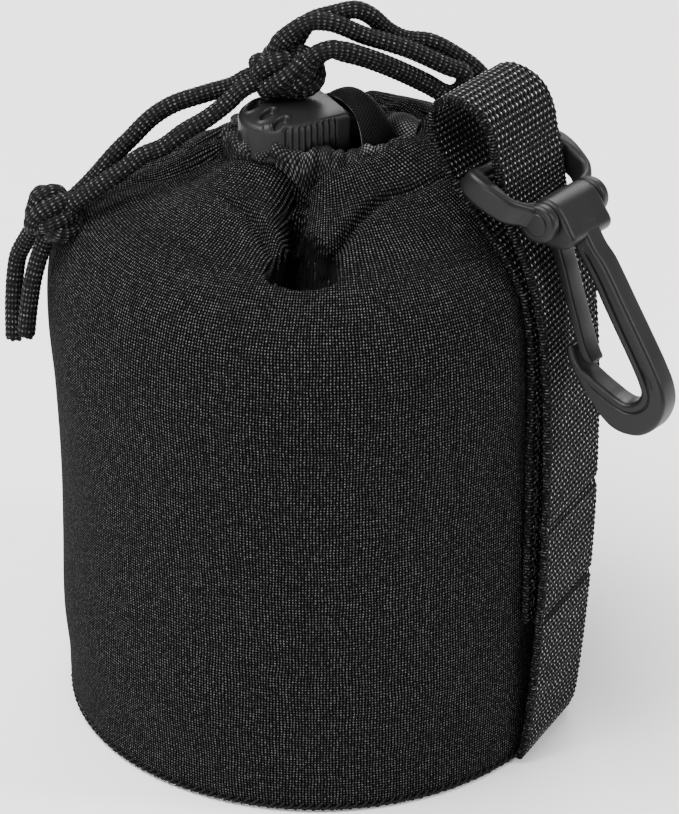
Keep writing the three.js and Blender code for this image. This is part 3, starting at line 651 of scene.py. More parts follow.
def body():
    P, m_out, V = body_base()
    N = normals(P)
    z = P[..., 2]
    th = THETA[:, None]
    cols = np.arange(P.shape[1])
    # soft, uneven fullness of the padded wall
    soft = 0.22 * np.sin(3 * th + 0.05 * z + 0.4) * np.sin(0.071 * z + 1.1) + 0.16 * np.sin(7 * th - 0.06 * z + 2.0) * np.sin(0.12 * z)
    soft = soft * smooth(6, 20, z) * (cols < m_out)[None, :] * (1 - smooth(92, 100, z))
    soft = soft * (1 - (1 - smooth(11.5, 16, np.abs(P[..., 1]))) * (P[..., 0] > 0))
    sel = cols[P[0, :, 2] > 80]
    jz = int(np.argmax(P[0, :, 2]))
    zcol = P[0, :jz + 1, 2]
    sub = P[:, sel].reshape(-1, 3)
    d_all = np.zeros(len(sub))
    for line, power, ridge in crease_list():
        pts = []
        for a, zz, d, w in line:
            fi = (math.radians(a) + math.pi) / TAU * NTH
            fj = np.interp(zz, zcol, np.arange(jz + 1))
            i0, k0 = int(fi) % NTH, min(int(fj), P.shape[1] - 2)
            ti, tk = fi - int(fi), fj - k0
            q = (P[i0, k0] * (1 - ti) + P[(i0 + 1) % NTH, k0] * ti) * (1 - tk) + (P[i0, k0 + 1] * (1 - ti) + P[(i0 + 1) % NTH, k0 + 1] * ti) * tk
            pts.append([*q, d, w])
        L = catmull(pts, 0.35)
        best = np.full(len(sub), 1e9)
        dep = np.zeros(len(sub))
        wid = np.ones(len(sub))
        idx = np.where(np.min(np.linalg.norm(sub[:, None] - L[None, ::12, :3], axis=2), axis=1) < 24)[0]
        for a in range(0, len(idx), 20000):
            c = idx[a:a + 20000]
            dd = np.linalg.norm(sub[c][:, None] - L[None, :, :3], axis=2)
            k = np.argmin(dd, axis=1)
            best[c] = dd[np.arange(len(c)), k]
            dep[c], wid[c] = L[k, 3], np.maximum(L[k, 4], 0.6)
        x = best / wid
        d_all -= dep * np.exp(-np.clip(x, 0, 8) ** power)
        d_all += ridge * (1 - smooth(2.2, 4.2, wid)) * dep * np.exp(-((x - 3.0) / 1.5) ** 2)
    g = np.zeros(P.shape[:2])
    g[:, sel] = d_all.reshape(NTH, -1)
    g = np.clip(g, -10.5, 1.4)
    # the fold over the rim carries the creases inwards only a little way; further down the inner skin keeps its distance from the outer one
    for j in range(m_out, P.shape[1]):
        if P[0, j, 2] > 84 and j > m_out + 1:
            near = int(np.argmin((P[380, :m_out, 0] - P[380, j, 0]) ** 2 + (P[380, :m_out, 1] - P[380, j, 1]) ** 2 + (z[380, :m_out] - z[380, j]) ** 2))
            g[:, j], N[:, j] = g[:, near], N[:, near]
        else:
            g[:, j] *= math.exp(-(j - m_out) / 3.0)
    over_rim = smooth(jz - 8, jz + 12, cols)[None, :, None]
    out = P + N * soft[..., None] + (N * (1 - over_rim) + V3(0, 0, 1.0) * over_rim) * g[..., None]
    deg = np.degrees(th)
    out[..., 2] -= tab(SAG, deg) * smooth(84, 97, z) * (1 - 0.6 * smooth(100, 106, z))
    edge = out.copy()                 # the rim before its dips, where the tape stands
    out[..., 2] -= tab(DROP, deg) * smooth(94, 107, z)
    # the last value, how deep each point lies in a fold, is the mask for the knit's painted shade
    return out, edge, V, jz, smooth(1.3, 4.2, -g)


BODY_P, EDGE_P, BODY_V, J_RIM, FOLD_SHADE_MASK = body()
U, W = np.meshgrid(np.linspace(0, 276.5, NTH + 1), np.append(BODY_V, BODY_V[-1] + 4), indexing="ij")
bag = Bag()
bag.grid(BODY_P, True, True, U, W)
body_piece = done(bag.make("neoprene_wall", NEO), ["neoprene_body"], "root")
body_piece.data.attributes.new("fold_shade_mask", "FLOAT", "POINT").data.foreach_set("value", FOLD_SHADE_MASK.ravel())      # how deep each point lies in a fold: the mask for the knit's painted shade


def lathe(rows, step, n=360):
    prof = catmull(np.column_stack([rows, np.zeros(len(rows))]), step)[:, :2]
    th = np.linspace(0, TAU, n, endpoint=False)
    return np.stack([prof[None, :, 0] * np.cos(th)[:, None], prof[None, :, 0] * np.sin(th)[:, None],
                     np.broadcast_to(prof[:, 1], (n, len(prof)))], -1), prof


# base disc
G, prof = lathe([(0.4, 0.25), (20, 0.15), (38, 0.2), (41.2, 0.5), (42.1, 1.6), (42.2, 2.8), (41.6, 4.0), (38, 4.4), (20, 4.5), (0.4, 4.5)], 0.5)
bag = Bag()
U, W = np.meshgrid(np.linspace(0, 276.5, 361), along(prof), indexing="ij")
bag.grid(G, True, False, U, W)
n = G.shape[1]
bag.fan(np.arange(360) * n, V3(0, 0, 0.2), flip=True)
bag.fan(np.arange(360) * n + n - 1, V3(0, 0, 4.5))
done(bag.make("base_disc_padded", NEO), ["base_disc"], "root")

# overlocked edge under the wall: slanting thread loops that show only as a fine scalloped line
bag = Bag()
G, prof = lathe([(40.6, 0.35), (42.3, 0.25), (42.95, 0.55), (42.8, 1.2), (41.6, 1.4), (40.6, 1.0), (40.6, 0.45)], 0.3)
bag.grid(G[:, :-1], True, True)
K = 176
for k in range(K):
    pts = []
    for da, r, z in [(-0.35, 40.9, 0.22), (-0.15, 42.2, 0.16), (0.05, 43.15, 0.36), (0.3, 43.42, 0.95), (0.6, 43.35, 1.55), (0.85, 42.9, 1.8)]:
        b = (k + da * 1.3) * TAU / K
        pts.append([r * math.cos(b), r * math.sin(b), z])
    yarn(catmull(pts, 0.4), 0.17 + 0.03 * math.sin(k * 2.7), bag, 6)
a = np.linspace(0, TAU, 880, endpoint=False)
rw = 43.3 + 0.06 * np.sin(K * a)
yarn(np.stack([rw * np.cos(a), rw * np.sin(a), 0.75 + 0.14 * np.sin(K * a + 1)], -1), 0.16, bag, 6, closed=True)
done(bag.make("overlock_thread", THREAD), ["base_overlock_seam"], "root")

# ------------------------------------------------------------------ drawstring casing: thin woven tape gathered inside the rim
NC = 1100
tc = np.linspace(-math.pi, math.pi, NC, endpoint=False)
fi = (tc + math.pi) / TAU * NTH
i0 = np.floor(fi).astype(int)
ti = (fi - i0)[:, None]
rim = EDGE_P[i0 % NTH, J_RIM + 6] * (1 - ti) + EDGE_P[(i0 + 1) % NTH, J_RIM + 6] * ti
rad = np.stack([np.cos(tc), np.sin(tc), np.zeros(NC)], -1)
deg = np.degrees(tc)
fall = np.clip(tab(DROP, deg), 0, None)[:, None]
fall = sum(np.roll(fall, k, 0) for k in range(-9, 10)) / 19
# waves: broad folds with fine crinkles on them
wv = 0.62 * np.sin(14 * tc + 1.8 * np.sin(5 * tc)) + 0.34 * np.sin(27 * tc + 1.2 * np.sin(7 * tc)) + 0.16 * np.sin(61 * tc + 0.7)
wz = 0.45 * np.sin(11 * tc + 0.4 + np.sin(4 * tc)) + 0.25 * np.sin(31 * tc + 1.7)
wr = 0.6 * np.sin(19 * tc + 2.2 * np.sin(3 * tc))
push = tab([(-150, 0), (-140, 0.2), (-132, 0.8), (-124, 1.8), (-116, 2.5), (-104, 2.8), (-95, 2.6), (-87, 2.3), (-80, 1.6), (-73, 1.0),
            (-64, 0.2), (-58, 0)], deg)[:, None]
lift = tab([(-165, 0.0), (-155, 1.2), (-135, 1.2), (-120, 1.0), (-90, 1.1), (-76, 0.2), (-64, 0)], deg)[:, None]
low = tab([(-180, 0), (5, 0), (20, -1.3), (60, -1.8), (80, -1.0), (95, 0), (180, 0)], deg)[:, None]
# section: out from the rim, up, share of the waves, share of the rim's dip
sec = catmull([(-2.9, -4.0, 0.2, 0), (-2.7, -2.0, 0.4, 0), (-2.4, -0.6, 0.8, 0), (-1.9, 0.5, 1.0, 0), (-1.1, 1.15, 1.0, 0), (-0.2, 1.25, 1.0, 0),
               (0.5, 0.85, 1.0, 0.1), (0.75, 0.2, 0.9, 0.35), (0.7, -0.6, 0.5, 0.75), (0.4, -1.9, 0.15, 1.0), (-0.1, -1.9, 0.15, 1.0), (0.05, -0.6, 0.5, 0.75),
               (0.15, 0.0, 0.9, 0.35), (-0.1, 0.5, 1.0, 0.1), (-0.9, 0.6, 1.0, 0), (-1.5, 0.1, 1.0, 0), (-1.9, -0.9, 0.7, 0), (-2.3, -2.1, 0.4, 0),
               (-2.5, -4.0, 0.2, 0)], 0.22)
dr, dz, sh, dn = [sec[None, :, k] for k in range(4)]
out = dr + sh * push + sh * (0.75 * wv[:, None] + 0.4 * wr[:, None] * np.sin(2.0 * (dz - dn * fall)))
up = dz * (1 + 0.25 * wr[:, None] * sh) + sh * (wz[:, None] * 0.8 + 0.22 * wv[:, None]) - dn * fall + sh * lift + low * np.where(dz > -3, 1.0, 0.4)
G = rim[:, None] + rad[:, None] * out[..., None] + V3(0, 0, 1) * up[..., None]
bag = Bag()
U, W = np.meshgrid(np.linspace(0, 104, NC + 1), np.append(along(sec[:, :3]), along(sec[:, :3])[-1] + 0.4), indexing="ij")
bag.grid(G, True, True, U, W)


def patch(rows, nu, nv, thick, bag, u0=0.0):
    """A small folded piece of the tape: control points in rows, smoothed both ways, with a thickness."""
    A = np.stack([spread(r, nu) for r in rows])
    B = np.stack([spread(A[:, j], nv) for j in range(nu)])
    nn = np.cross(np.gradient(B, axis=0), np.gradient(B, axis=1))
    nn /= np.maximum(np.linalg.norm(nn, axis=2), 1e-9)[..., None]
    ring = np.concatenate([B + nn * thick / 2, (B - nn * thick / 2)[:, ::-1]], axis=1)
    LV = along(B[nu // 2])
    U, W = np.meshgrid(u0 + along(B[:, nv // 2]), np.concatenate([LV, LV[-1] + 0.3 + LV, [2 * LV[-1] + 0.6]]), indexing="ij")
    base = bag.n
    m = ring.shape[1]
    bag.grid(ring, False, True, U, W)
    bag.edge_cap(base, nv)
    bag.edge_cap(base + (nu - 1) * m, nv, True)


# round-topped fold that lies over the lock's button: rows from the rim up and back, in the lock's directions
rows = []
for v, z, pull in [(9.3, -4.6, 0.0), (9.2, -1.8, 0.2), (8.3, 1.4, 0.7), (6.6, 3.5, 1.0), (3.6, 4.3, 1.0), (0.6, 4.2, 1.0), (-2.2, 3.2, 0.8), (-4.0, 1.2, 0.5)]:
    rows.append([lock_point(u, v - inward, z + pull * dz) for u, inward, dz in
                 [(8.3, 0.2, -0.5), (9.8, 0.0, 0.2), (11.8, 0.1, 0.1), (13.6, 0.7, -1.3), (15.2, 1.9, -3.6)]])
# u0 of 1000 puts this fold past 500 in u, where the tape's colour gets painted shade
patch(rows, 70, 90, 0.5, bag, 1000.0)
# folded end of the tape at the right
patch([[(10.3, 4.6, 105.7), (12.0, 3.2, 106.0), (14.4, 2.6, 106.2), (16.2, 3.4, 106.2)],
       [(10.0, 5.6, 107.0), (12.0, 4.6, 107.6), (14.2, 4.0, 107.6), (16.0, 4.4, 107.3)],
       [(10.0, 8.2, 107.0), (11.8, 7.6, 107.7), (13.8, 7.0, 107.7), (15.4, 6.6, 107.2)],
       [(10.3, 9.6, 106.0), (11.9, 9.4, 106.3), (13.6, 8.8, 106.3), (14.9, 8.2, 106.0)]], 50, 40, 0.7, bag)
done(bag.make("casing_tape", TAPE), ["drawstring_casing"], "root")

# ------------------------------------------------------------------ webbing
WEB_PATH = [
    [44.1, 28.5], [44.1, 40], [44.1, 56], [44.1, 70], [43.9, 78], [43.4, 84],
    [42.2, 89.5], [40.0, 94.0], [37.1, 97.8], [33.9, 101.6], [31.3, 104.9],
    [28.7, 108.7], [26.5, 112.6], [25.4, 116.2], [25.9, 119.3], [28.2, 121.1],
    [31.3, 120.9], [34.2, 119.2], [36.0, 116.0], [36.8, 112.2], [37.6, 109.2],
    [38.1, 106.4], [38.8, 103.6], [39.6, 101.2], [40.8, 98.7], [42.2, 95.9],
    [43.6, 92.3], [44.8, 88.3], [45.7, 84], [46.2, 79.5], [46.7, 73],
    [47.1, 64], [47.2, 53], [47.1, 42], [46.7, 31], [46.2, 23], [45.6, 15],
    [44.9, 8], [44.3, 3.6], [43.4, 1.2],
]
C2 = catmull(np.column_stack([WEB_PATH, np.zeros(len(WEB_PATH))]), 0.21)[:, :2]
s_web = along(C2)
T2 = np.gradient(C2, axis=0)
T2 /= np.linalg.norm(T2, axis=1)[:, None]
N2 = np.stack([-T2[:, 1], T2[:, 0]], -1)
hw, ht = 9.7, 0.56
face = np.linspace(-hw, hw, 141)
edge = np.linspace(0, math.pi, 9)[1:-1]
w_loc = np.concatenate([face, hw + 0.28 * np.sin(edge), face[::-1], -hw - 0.28 * np.sin(edge)])
h_loc = np.concatenate([np.full(141, ht), ht * np.cos(edge), np.full(141, -ht), -ht * np.cos(edge)])
is_face = np.concatenate([np.ones(141), np.zeros(7), np.ones(141), np.zeros(7)])
rib = np.abs(np.sin(math.pi * s_web / 1.05)) ** 1.6
dash = 0.5 + 0.5 * np.sin(TAU * (w_loc[None, :] / 0.62 + 0.5 * np.floor(s_web / 1.05)[:, None]))
hh = h_loc[None, :] + np.sign(h_loc)[None, :] * is_face[None, :] * (0.20 * (rib[:, None] - 0.5) + 0.10 * dash * rib[:, None])
ww = w_loc[None, :] + np.sign(w_loc)[None, :] * (1 - is_face)[None, :] * 0.10 * (rib[:, None] - 0.5)
G = np.zeros((len(C2), len(w_loc), 3))
G[..., 0] = C2[:, :1] + hh * N2[:, :1]
G[..., 2] = C2[:, 1:] + hh * N2[:, 1:]
G[..., 1] = ww
# the rows of stitches draw the outer layer in
outer = (s_web > s_web[-1] - 75)[:, None]
G[..., 0] -= outer * (0.50 * np.exp(-((G[..., 2] - 47.3) / 0.75) ** 2) + 0.38 * np.exp(-((G[..., 2] - 29.3) / 0.75) ** 2))
lean = smooth(97, 108, G[..., 2]) * (G[..., 1] + 10)
G[..., 0] += 0.07 * lean
G[..., 2] -= 0.08 * lean
bag = Bag()
U, W = np.meshgrid(s_web, np.append(w_loc, w_loc[0]), indexing="ij")
bag.grid(G, False, True, U, W, flip=True)
m = len(w_loc)
bag.fan(np.arange(m), G[0].mean(0))
bag.fan((len(C2) - 1) * m + np.arange(m), G[-1].mean(0), flip=True)
done(bag.make("webbing_ribbed", WEB), ["webbing_strap"], "root")


def stitches(name, node_name, rows, r, rise):
    bag = Bag()
    for a, b, nn in rows:
        a, b, nn = V3(*a), V3(*b), unit(nn)
        d = b - a
        yarn(catmull([a - nn * 0.5, a + nn * rise * 0.4 + d * 0.12, (a + b) / 2 + nn * rise, b + nn * rise * 0.4 - d * 0.12, b - nn * 0.5], 0.3), r, bag, 8)
    return done(bag.make(name, THREAD), [node_name], "root")


for nm, z, x in [("bar_tack_upper", 47, 47.45), ("bar_tack_lower", 29, 47.0)]:
    rows = []
    for k in range(13):
        y = -8.2 + k * 1.27
        rows.append([(x, y, z + 0.2), (x, y + 0.95, z + 0.4), (1, 0, 0.02)])
    stitches(nm + "_thread", nm, rows, 0.15, 0.2)
for nm, y in [("backing_stitch_near", -8.7), ("backing_stitch_far", 8.7)]:
    stitches(nm + "_thread", nm, [[(44.95, y, 31.4 + 3 * k), (44.95, y, 33.7 + 3 * k), (1, 0, 0)] for k in range(13)], 0.14, 0.2)


# ------------------------------------------------------------------ moulded pieces
def ladder(pairs, thick, step, bag, to_world, edge=0.7, relief=None, across=44):
    """A moulded bar given by matched points on its two edges; thick may be a number or one value per pair."""
    A = np.asarray(pairs, float).reshape(len(pairs), 4)
    mid = (A[:, :2] + A[:, 2:]) / 2
    S = catmull(np.column_stack([mid, np.zeros(len(A)), A, np.broadcast_to(np.asarray(thick, float), (len(A),))]), step)
    a, b, t = S[:, 3:5], S[:, 5:7], S[:, 7] / 2
    width = np.linalg.norm(b - a, axis=1)
    q = 0.25 - 0.25 * np.cos(np.linspace(0, math.pi, across)) + 0.5 * np.linspace(0, 1, across)
    q[0], q[-1] = 0.0, 1.0
    e = np.minimum(q[None, :], 1 - q[None, :]) * width[:, None]
    rr = np.minimum(edge, np.minimum(width[:, None] / 2, t[:, None] * 0.98))
    fall = np.where(e < rr, rr - np.sqrt(np.clip(rr ** 2 - (rr - e) ** 2, 0, None)), 0)
    h = t[:, None] - fall
    s = along((a + b) / 2)
    if relief is not None:
        h = h - relief(s[:, None], q[None, :] * width[:, None], width[:, None])
    XY = a[:, None] * (1 - q[None, :, None]) + b[:, None] * q[None, :, None]
    ring = np.concatenate([np.concatenate([XY, h[..., None]], -1), np.concatenate([XY, -h[..., None]], -1)[:, ::-1]], axis=1)
    m = ring.shape[1]
    base = bag.n
    bag.grid(to_world(ring), False, True)
    bag.fan(base + np.arange(m), to_world(ring[0].mean(0)[None])[0])
    bag.fan(base + (len(S) - 1) * m + np.arange(m), to_world(ring[-1].mean(0)[None])[0], flip=True)


def end_profile(w0, w1, rnd, n=7):
    a = np.linspace(0, math.pi / 2, n)
    p = [(w0 + rnd * (1 - math.cos(x)), rnd * (1 - math.sin(x))) for x in a]
    p += [(w, 0.0) for w in np.linspace(w0 + rnd, w1 - rnd, 14)[1:-1]]
    return p + [(w1 - rnd * (1 - math.cos(x)), rnd * (1 - math.sin(x))) for x in a[::-1]]


def barrel(loop, w0, w1, rnd, bag, to_world):
    """A block with a smooth outline, its length along the third axis, with rounded ends."""
    loop = np.column_stack([loop, np.zeros(len(loop))])
    L = catmull(np.vstack([loop, loop[:1]]), 0.2)[:-1, :2]
    c = L.mean(0)
    prof = end_profile(w0, w1, rnd)
    rad = np.linalg.norm(L - c, axis=1)
    G = np.zeros((len(prof), len(L), 3))
    for i, (w, inset) in enumerate(prof):
        G[i, :, :2] = c + (L - c) * (1 - inset / rad)[:, None]
        G[i, :, 2] = w
    base = bag.n
    m = len(L)
    bag.grid(to_world(G), False, True)
    bag.fan(base + np.arange(m), to_world(G[0].mean(0)[None])[0])
    bag.fan(base + (len(prof) - 1) * m + np.arange(m), to_world(G[-1].mean(0)[None])[0], flip=True)


def circle(cx, cy, r, n=28):
    return [(cx + r * math.cos(TAU * k / n), cy + r * math.sin(TAU * k / n)) for k in range(n)]


AXR = unit((0.09, 0.989, -0.115))
BAR = V3(34.6, 0.8, 107.6)
reach = V3(10.7, 0, -5.9)
reach = reach - AXR * (reach @ AXR)
RL = float(np.linalg.norm(reach))
rdir = unit(reach)
rnorm = np.cross(AXR, rdir)
PIVOT = BAR + reach


def ring_world(G):
    return BAR + G[..., :1] * AXR + G[..., 1:2] * rdir + G[..., 2:3] * rnorm


def ring_pin(G):                       # outline across the pin, length along it
    return BAR + G[..., 2:3] * AXR + G[..., :1] * rdir + G[..., 1:2] * rnorm


bag = Bag()
half = [(0.0, -1.25, 0.0, 1.25), (4, -1.25, 4, 1.25), (8.5, -1.25, 8.5, 1.25), (11.2, -1.35, 10.5, 1.35), (13.0, -0.95, 11.15, 2.0), (13.95, 0.4, 11.4, 2.9),
        (14.2, 2.4, 11.35, 3.8), (13.85, 4.8, 11.3, 5.0), (12.8, 7.8, 11.0, 7.0), (11.1, 9.5, 9.1, 8.6), (9.9, 10.4, 7.3, 9.2), (9.35, 11.4, 6.9, 10.2),
        (9.2, RL, 6.9, 11.2), (9.2, RL + 1.2, 6.9, RL + 1.2)]
deep = [2.5, 2.5, 2.5, 2.9, 3.8, 4.3, 4.6, 4.7, 4.6, 4.4, 4.2, 4.2, 4.0, 4.0]
ladder([(-a, b, -c, d) for a, b, c, d in half[:0:-1]] + half, deep[:0:-1] + deep, 0.3, bag, ring_world, 1.0)
for sgn in (-1, 1):
    lo, hi = sorted((sgn * 6.8, sgn * 9.2))
    barrel(circle(RL, 0, 3.2, 36), lo, hi, 0.8, bag, ring_pin)
    lo, hi = sorted((sgn * 8.8, sgn * 9.5))
    barrel(circle(RL, 0, 1.9, 24), lo, hi, 0.3, bag, ring_pin)
barrel(circle(RL, 0, 1.5, 20), -7.4, 7.4, 0.1, bag, ring_pin)
done(bag.make("web_ring_moulded", PLASTIC), ["web_ring"], "ring")

# snap hook
outward = np.cross(AXR, (0, 0, 1))
outward = unit(outward * np.sign(outward[0]))
down = np.cross(AXR, outward)
down = unit(down * -np.sign(down[2]))


def hook_world(G):
    return PIVOT + G[..., :1] * outward + G[..., 1:2] * down + G[..., 2:3] * AXR


HOOK = [(1.4, 0.6, 4.6, 0.6), (2.6, 2.6, 5.6, 2.2), (3.6, 5.2, 7.2, 4.4), (4.9, 6.8, 8.9, 6.1), (7.0, 9.6, 10.9, 8.8), (9.5, 13.4, 13.6, 12.7), (11.9, 16.9, 16.4, 16.7),
        (15.4, 22.0, 20.0, 22.0), (17.0, 24.6, 21.6, 24.9), (17.7, 26.2, 22.2, 27.4), (17.4, 27.5, 21.8, 29.8), (16.4, 28.4, 20.6, 32.0),
        (15.0, 28.8, 18.4, 33.7), (13.4, 28.4, 15.9, 34.2), (11.6, 27.6, 13.6, 33.9), (9.9, 26.8, 11.6, 32.8), (8.4, 26.0, 9.6, 30.9),
        (7.0, 25.2, 7.6, 28.7), (6.2, 24.3, 5.6, 26.6), (5.6, 23.4, 4.3, 24.8), (5.1, 22.3, 3.6, 23.2), (4.75, 21.75, 3.55, 22.1)]


def hook_relief(s, d, w):
    """A shallow channel behind the raised inner edge, broad on the spine and a fine line round the bottom."""
    total = s.max()
    spine = smooth(4.0, 7.0, s) * (1 - smooth(27, 30, s))
    bottom = smooth(26, 29, s) * (1 - smooth(total - 9, total - 6, s))

    def groove(lo, hi, depth, soft):
        return depth * smooth(lo, lo + soft, d) * (1 - smooth(hi - soft, hi, d))
    return spine * groove(1.45, 3.0, 0.55, 0.28) + bottom * groove(1.5, 2.05, 0.32, 0.2)


bag = Bag()
ladder(HOOK, 4.8, 0.22, bag, hook_world, 0.85, hook_relief, across=72)
HEAD = [(-3.3, 0), (-2.9, -1.6), (-1.7, -2.8), (0, -3.3), (1.8, -2.7), (3.1, -1.4), (4.4, 0.4), (5.5, 2.2),
        (5.2, 3.3), (4.0, 4.2), (2.4, 4.5), (-0.4, 4.1), (-2.4, 2.4)]
barrel(HEAD, -6.4, 6.4, 0.9, bag, hook_world)
done(bag.make("snap_hook_moulded", PLASTIC), ["snap_hook"], "hook")
bag = Bag()
GATE = [(-1.0, 3.6, 0.8, 3.4), (-0.8, 6.0, 1.0, 6.0), (0.8, 9.8, 2.5, 9.8), (2.3, 13.6, 3.9, 13.6), (3.8, 17.4, 5.4, 17.3), (5.2, 20.8, 6.8, 20.8), (6.1, 22.6, 7.7, 22.5),
        (6.9, 23.7, 8.4, 23.5), (7.3, 24.0, 8.55, 23.8)]
ladder(GATE, [4.2, 4.2, 4.2, 4.2, 4.2, 4.2, 4.1, 3.9, 3.7], 0.25, bag, hook_world, 0.45)
done(bag.make("hook_gate_moulded", PLASTIC), ["hook_gate"], "gate")


# ------------------------------------------------------------------ cord lock
def lock_world(G):
    return LOCK_C + G[..., :1] * LOCK_U + G[..., 1:2] * LOCK_V + G[..., 2:3] * V3(0, 0, 1)


NP = 1440
fi = np.linspace(0, TAU, NP, endpoint=False)


def d_outline(hl=7.8, hw=6.9, corner=1.0):
    """Radius of the lock's outline round (0, 0): square at +u, half round at -u."""
    pts = [(hl, 0.0), (hl, hw - corner)]
    for k in range(1, 6):
        a = math.pi / 2 * k / 6
        pts.append((hl - corner + corner * math.cos(a), hw - corner + corner * math.sin(a)))
    pts.append((-1.5, hw))
    for k in range(1, 24):
        a = math.pi / 2 + math.pi * k / 24
        pts.append((-1.5 + 7.2 * math.cos(a), hw * math.sin(a)))
    pts.append((-1.5, -hw))
    for k in range(1, 6):
        a = -math.pi / 2 + math.pi / 2 * k / 6
        pts.append((hl - corner + corner * math.cos(a), -hw + corner + corner * math.sin(a)))
    pts.append((hl, -hw + corner))
    pts = np.column_stack([pts, np.zeros(len(pts))])
    loop = even(np.vstack([pts, pts[:1]]), 0.05)[:-1]
    ang = np.arctan2(loop[:, 1], loop[:, 0]) % TAU
    order = np.argsort(ang)
    return np.interp(fi, ang[order], np.linalg.norm(loop, axis=1)[order], period=TAU)


Rho = d_outline()
out_u, out_v = Rho * np.cos(fi), Rho * np.sin(fi)
er = 1.1
# profile from the middle of the underside, round the side, to the middle of the top: (share of the outline, height, inset)
prof = [(f, -3.5, 0.0) for f in (0.02, 0.2, 0.4, 0.6, 0.75)]
prof += [(1.0, -3.5 + er * (1 - math.cos(a)), er * (1 - math.sin(a))) for a in np.linspace(0, math.pi / 2, 7)]
prof += [(1.0, z, 0.0) for z in np.linspace(-2.3, 2.2, 16)]
prof += [(1.0, 2.35 + er * math.sin(a), er * (1 - math.cos(a))) for a in np.linspace(0, math.pi / 2, 9)]
prof += [(f, 3.45, er * f) for f in np.linspace(0.98, 0.02, 60)]
G = np.zeros((NP, len(prof), 3))
for j, (f, z, inset) in enumerate(prof):
    k = f * (1 - inset / Rho)
    G[:, j, 0], G[:, j, 1] = out_u * k, out_v * k
    G[:, j, 2] = z
# ribs on both long sides
side = (np.abs(out_v) > 5.9) & (out_u > -4.64) & (out_u < 4.9)
ribw = np.where(side, 0.42 * (0.5 - 0.5 * np.cos(TAU * (out_u + 2.4) / 1.12)) ** 0.8, 0)
share = smooth(-3.2, -2.6, G[..., 2]) * (1 - smooth(2.9, 3.35, G[..., 2]))
G[..., 1] -= np.sign(G[..., 1]) * ribw[:, None] * share
# crowned top, and the three oval recesses and the boss at its round end
uu, vv = G[..., 0].copy(), G[..., 1].copy()
is_top = np.array([1.0 if z > 3.0 else 0.0 for f, z, i in prof])[None, :]
G[..., 2] += is_top * (0.55 * (1 - np.clip(np.abs(vv) / 6.9, 0, 1) ** 2) - 0.9 * (1 - smooth(-8.7, -3.0, uu)))
for cu, cv in [(-4.5, -3.5), (-4.5, 0.6), (-4.2, 4.3)]:
    p = (uu - cu) * 0.87 - (vv - cv) * 0.48
    q = (uu - cu) * 0.48 + (vv - cv) * 0.87
    e = np.sqrt((p / 1.75) ** 2 + (q / 0.85) ** 2)
    G[..., 2] += is_top * (-0.75 * (1 - smooth(0.75, 1.1, e)) + 0.22 * np.exp(-((e - 1.3) / 0.22) ** 2))
e = np.sqrt((uu + 6.3) ** 2 + (vv - 4.0) ** 2)
G[..., 2] += is_top * (0.35 * (1 - smooth(0.7, 1.0, e)))
bag = Bag()
bag.grid(lock_world(G), True, False)
m = G.shape[1]
bag.fan(np.arange(NP) * m, lock_world(V3(0, 0, -3.5)[None])[0], flip=True)
bag.fan(np.arange(NP) * m + m - 1, lock_world(V3(0, 0, 4.0)[None])[0])
done(bag.make("lock_housing_moulded", PLASTIC), ["lock_housing"], "root")


def rounded_block(u0, u1, hv, hz, rnd, bag):
    t = np.linspace(0, TAU, 96, endpoint=False)
    v = np.sign(np.cos(t)) * np.abs(np.cos(t)) ** 0.22
    z = np.sign(np.sin(t)) * np.abs(np.sin(t)) ** 0.22
    prof = end_profile(u0, u1, rnd)
    G = np.zeros((len(prof), 96, 3))
    for i, (u, inset) in enumerate(prof):
        G[i, :, 0], G[i, :, 1], G[i, :, 2] = u, v * (hv - inset), z * (hz - inset)
    base = bag.n
    bag.grid(lock_world(G), False, True)
    bag.fan(base + np.arange(96), lock_world(G[0].mean(0)[None])[0])
    bag.fan(base + (len(prof) - 1) * 96 + np.arange(96), lock_world(G[-1].mean(0)[None])[0], flip=True)


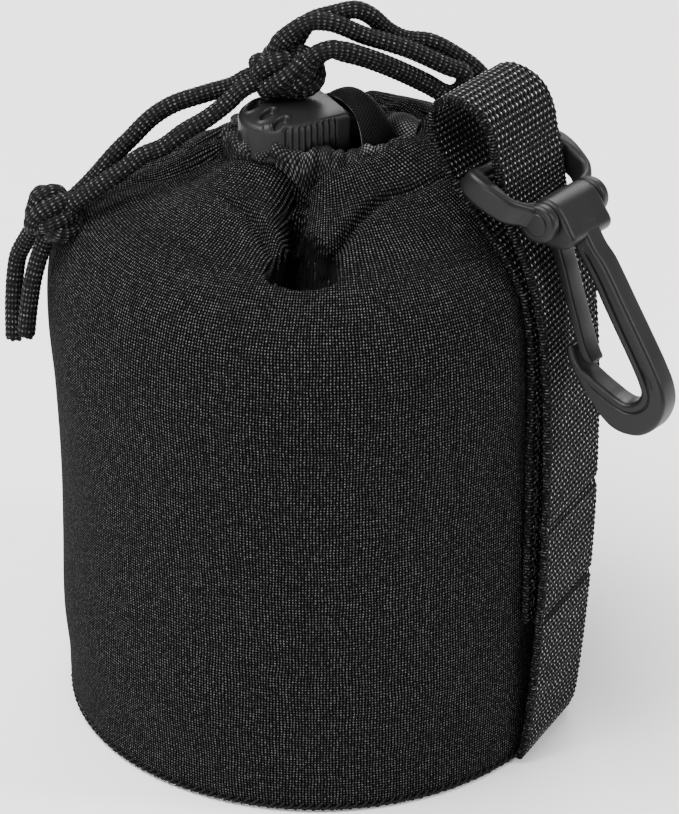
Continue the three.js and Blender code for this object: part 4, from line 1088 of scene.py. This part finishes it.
bag = Bag()
rounded_block(7.0, 11.0, 5.4, 2.0, 0.3, bag)
t0 = len(bag.v)
rounded_block(10.6, 12.2, 5.8, 2.3, 0.6, bag)
bag.v[t0][:, 2] -= 0.7
done(bag.make("lock_button_moulded", PLASTIC), ["lock_button"], "button")

bag = Bag()
t = np.linspace(0, 4 * TAU, 260)
q = np.stack([-5.9 + (5.9 - 1.25) * t / t[-1], 1.4 * np.cos(t), 1.4 * np.sin(t)], -1)
yarn(lock_world(q), 0.25, bag, 10)
spring = done(bag.make("lock_spring_coil", STEEL), ["lock_spring"], "root")
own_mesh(spring)

# ------------------------------------------------------------------ floor, light
fm, fnt, fb = new_mat("floor_white")
fb.inputs["Base Color"].default_value = (0.9, 0.9, 0.9, 1)
fb.inputs["Roughness"].default_value = 0.9
fb.inputs["Specular IOR Level"].default_value = 0.1
gx, gy = np.meshgrid(np.linspace(-3000, 3000, 9), np.linspace(-3000, 3000, 9), indexing="ij")
bag = Bag()
bag.grid(np.stack([gx, gy, np.full_like(gx, -0.05)], -1))
bag.make("floor", fm)

world = bpy.data.worlds.new("world")
SCENE.world = world
world.use_nodes = True
world.node_tree.nodes["Background"].inputs["Color"].default_value = (1.0, 1.0, 1.0, 1)
world.node_tree.nodes["Background"].inputs["Strength"].default_value = 0.45


def area(name, loc, target, size, power):
    d = bpy.data.lights.new(name, "AREA")
    d.shape = "RECTANGLE"
    d.size, d.size_y = size
    d.energy = power
    o = bpy.data.objects.new(name, d)
    SCENE.collection.objects.link(o)
    o.location = loc
    o.rotation_euler = (Vector(target) - Vector(loc)).to_track_quat("-Z", "Y").to_euler()


area("top", (-0.30, -0.30, 1.05), (0, 0, 0.05), (0.9, 0.9), 34.0)
area("front", (0.10, -0.95, 0.35), (0, 0, 0.06), (0.6, 0.2), 5.5)
area("side", (0.80, 0.25, 0.60), (0.03, 0, 0.08), (0.14, 0.6), 7.0)
area("back", (-0.20, 0.9, 0.7), (0, 0, 0.1), (0.7, 0.3), 8.0)

for k, v in lengths.items():
    print("cord", k, round(v, 1), "mm")
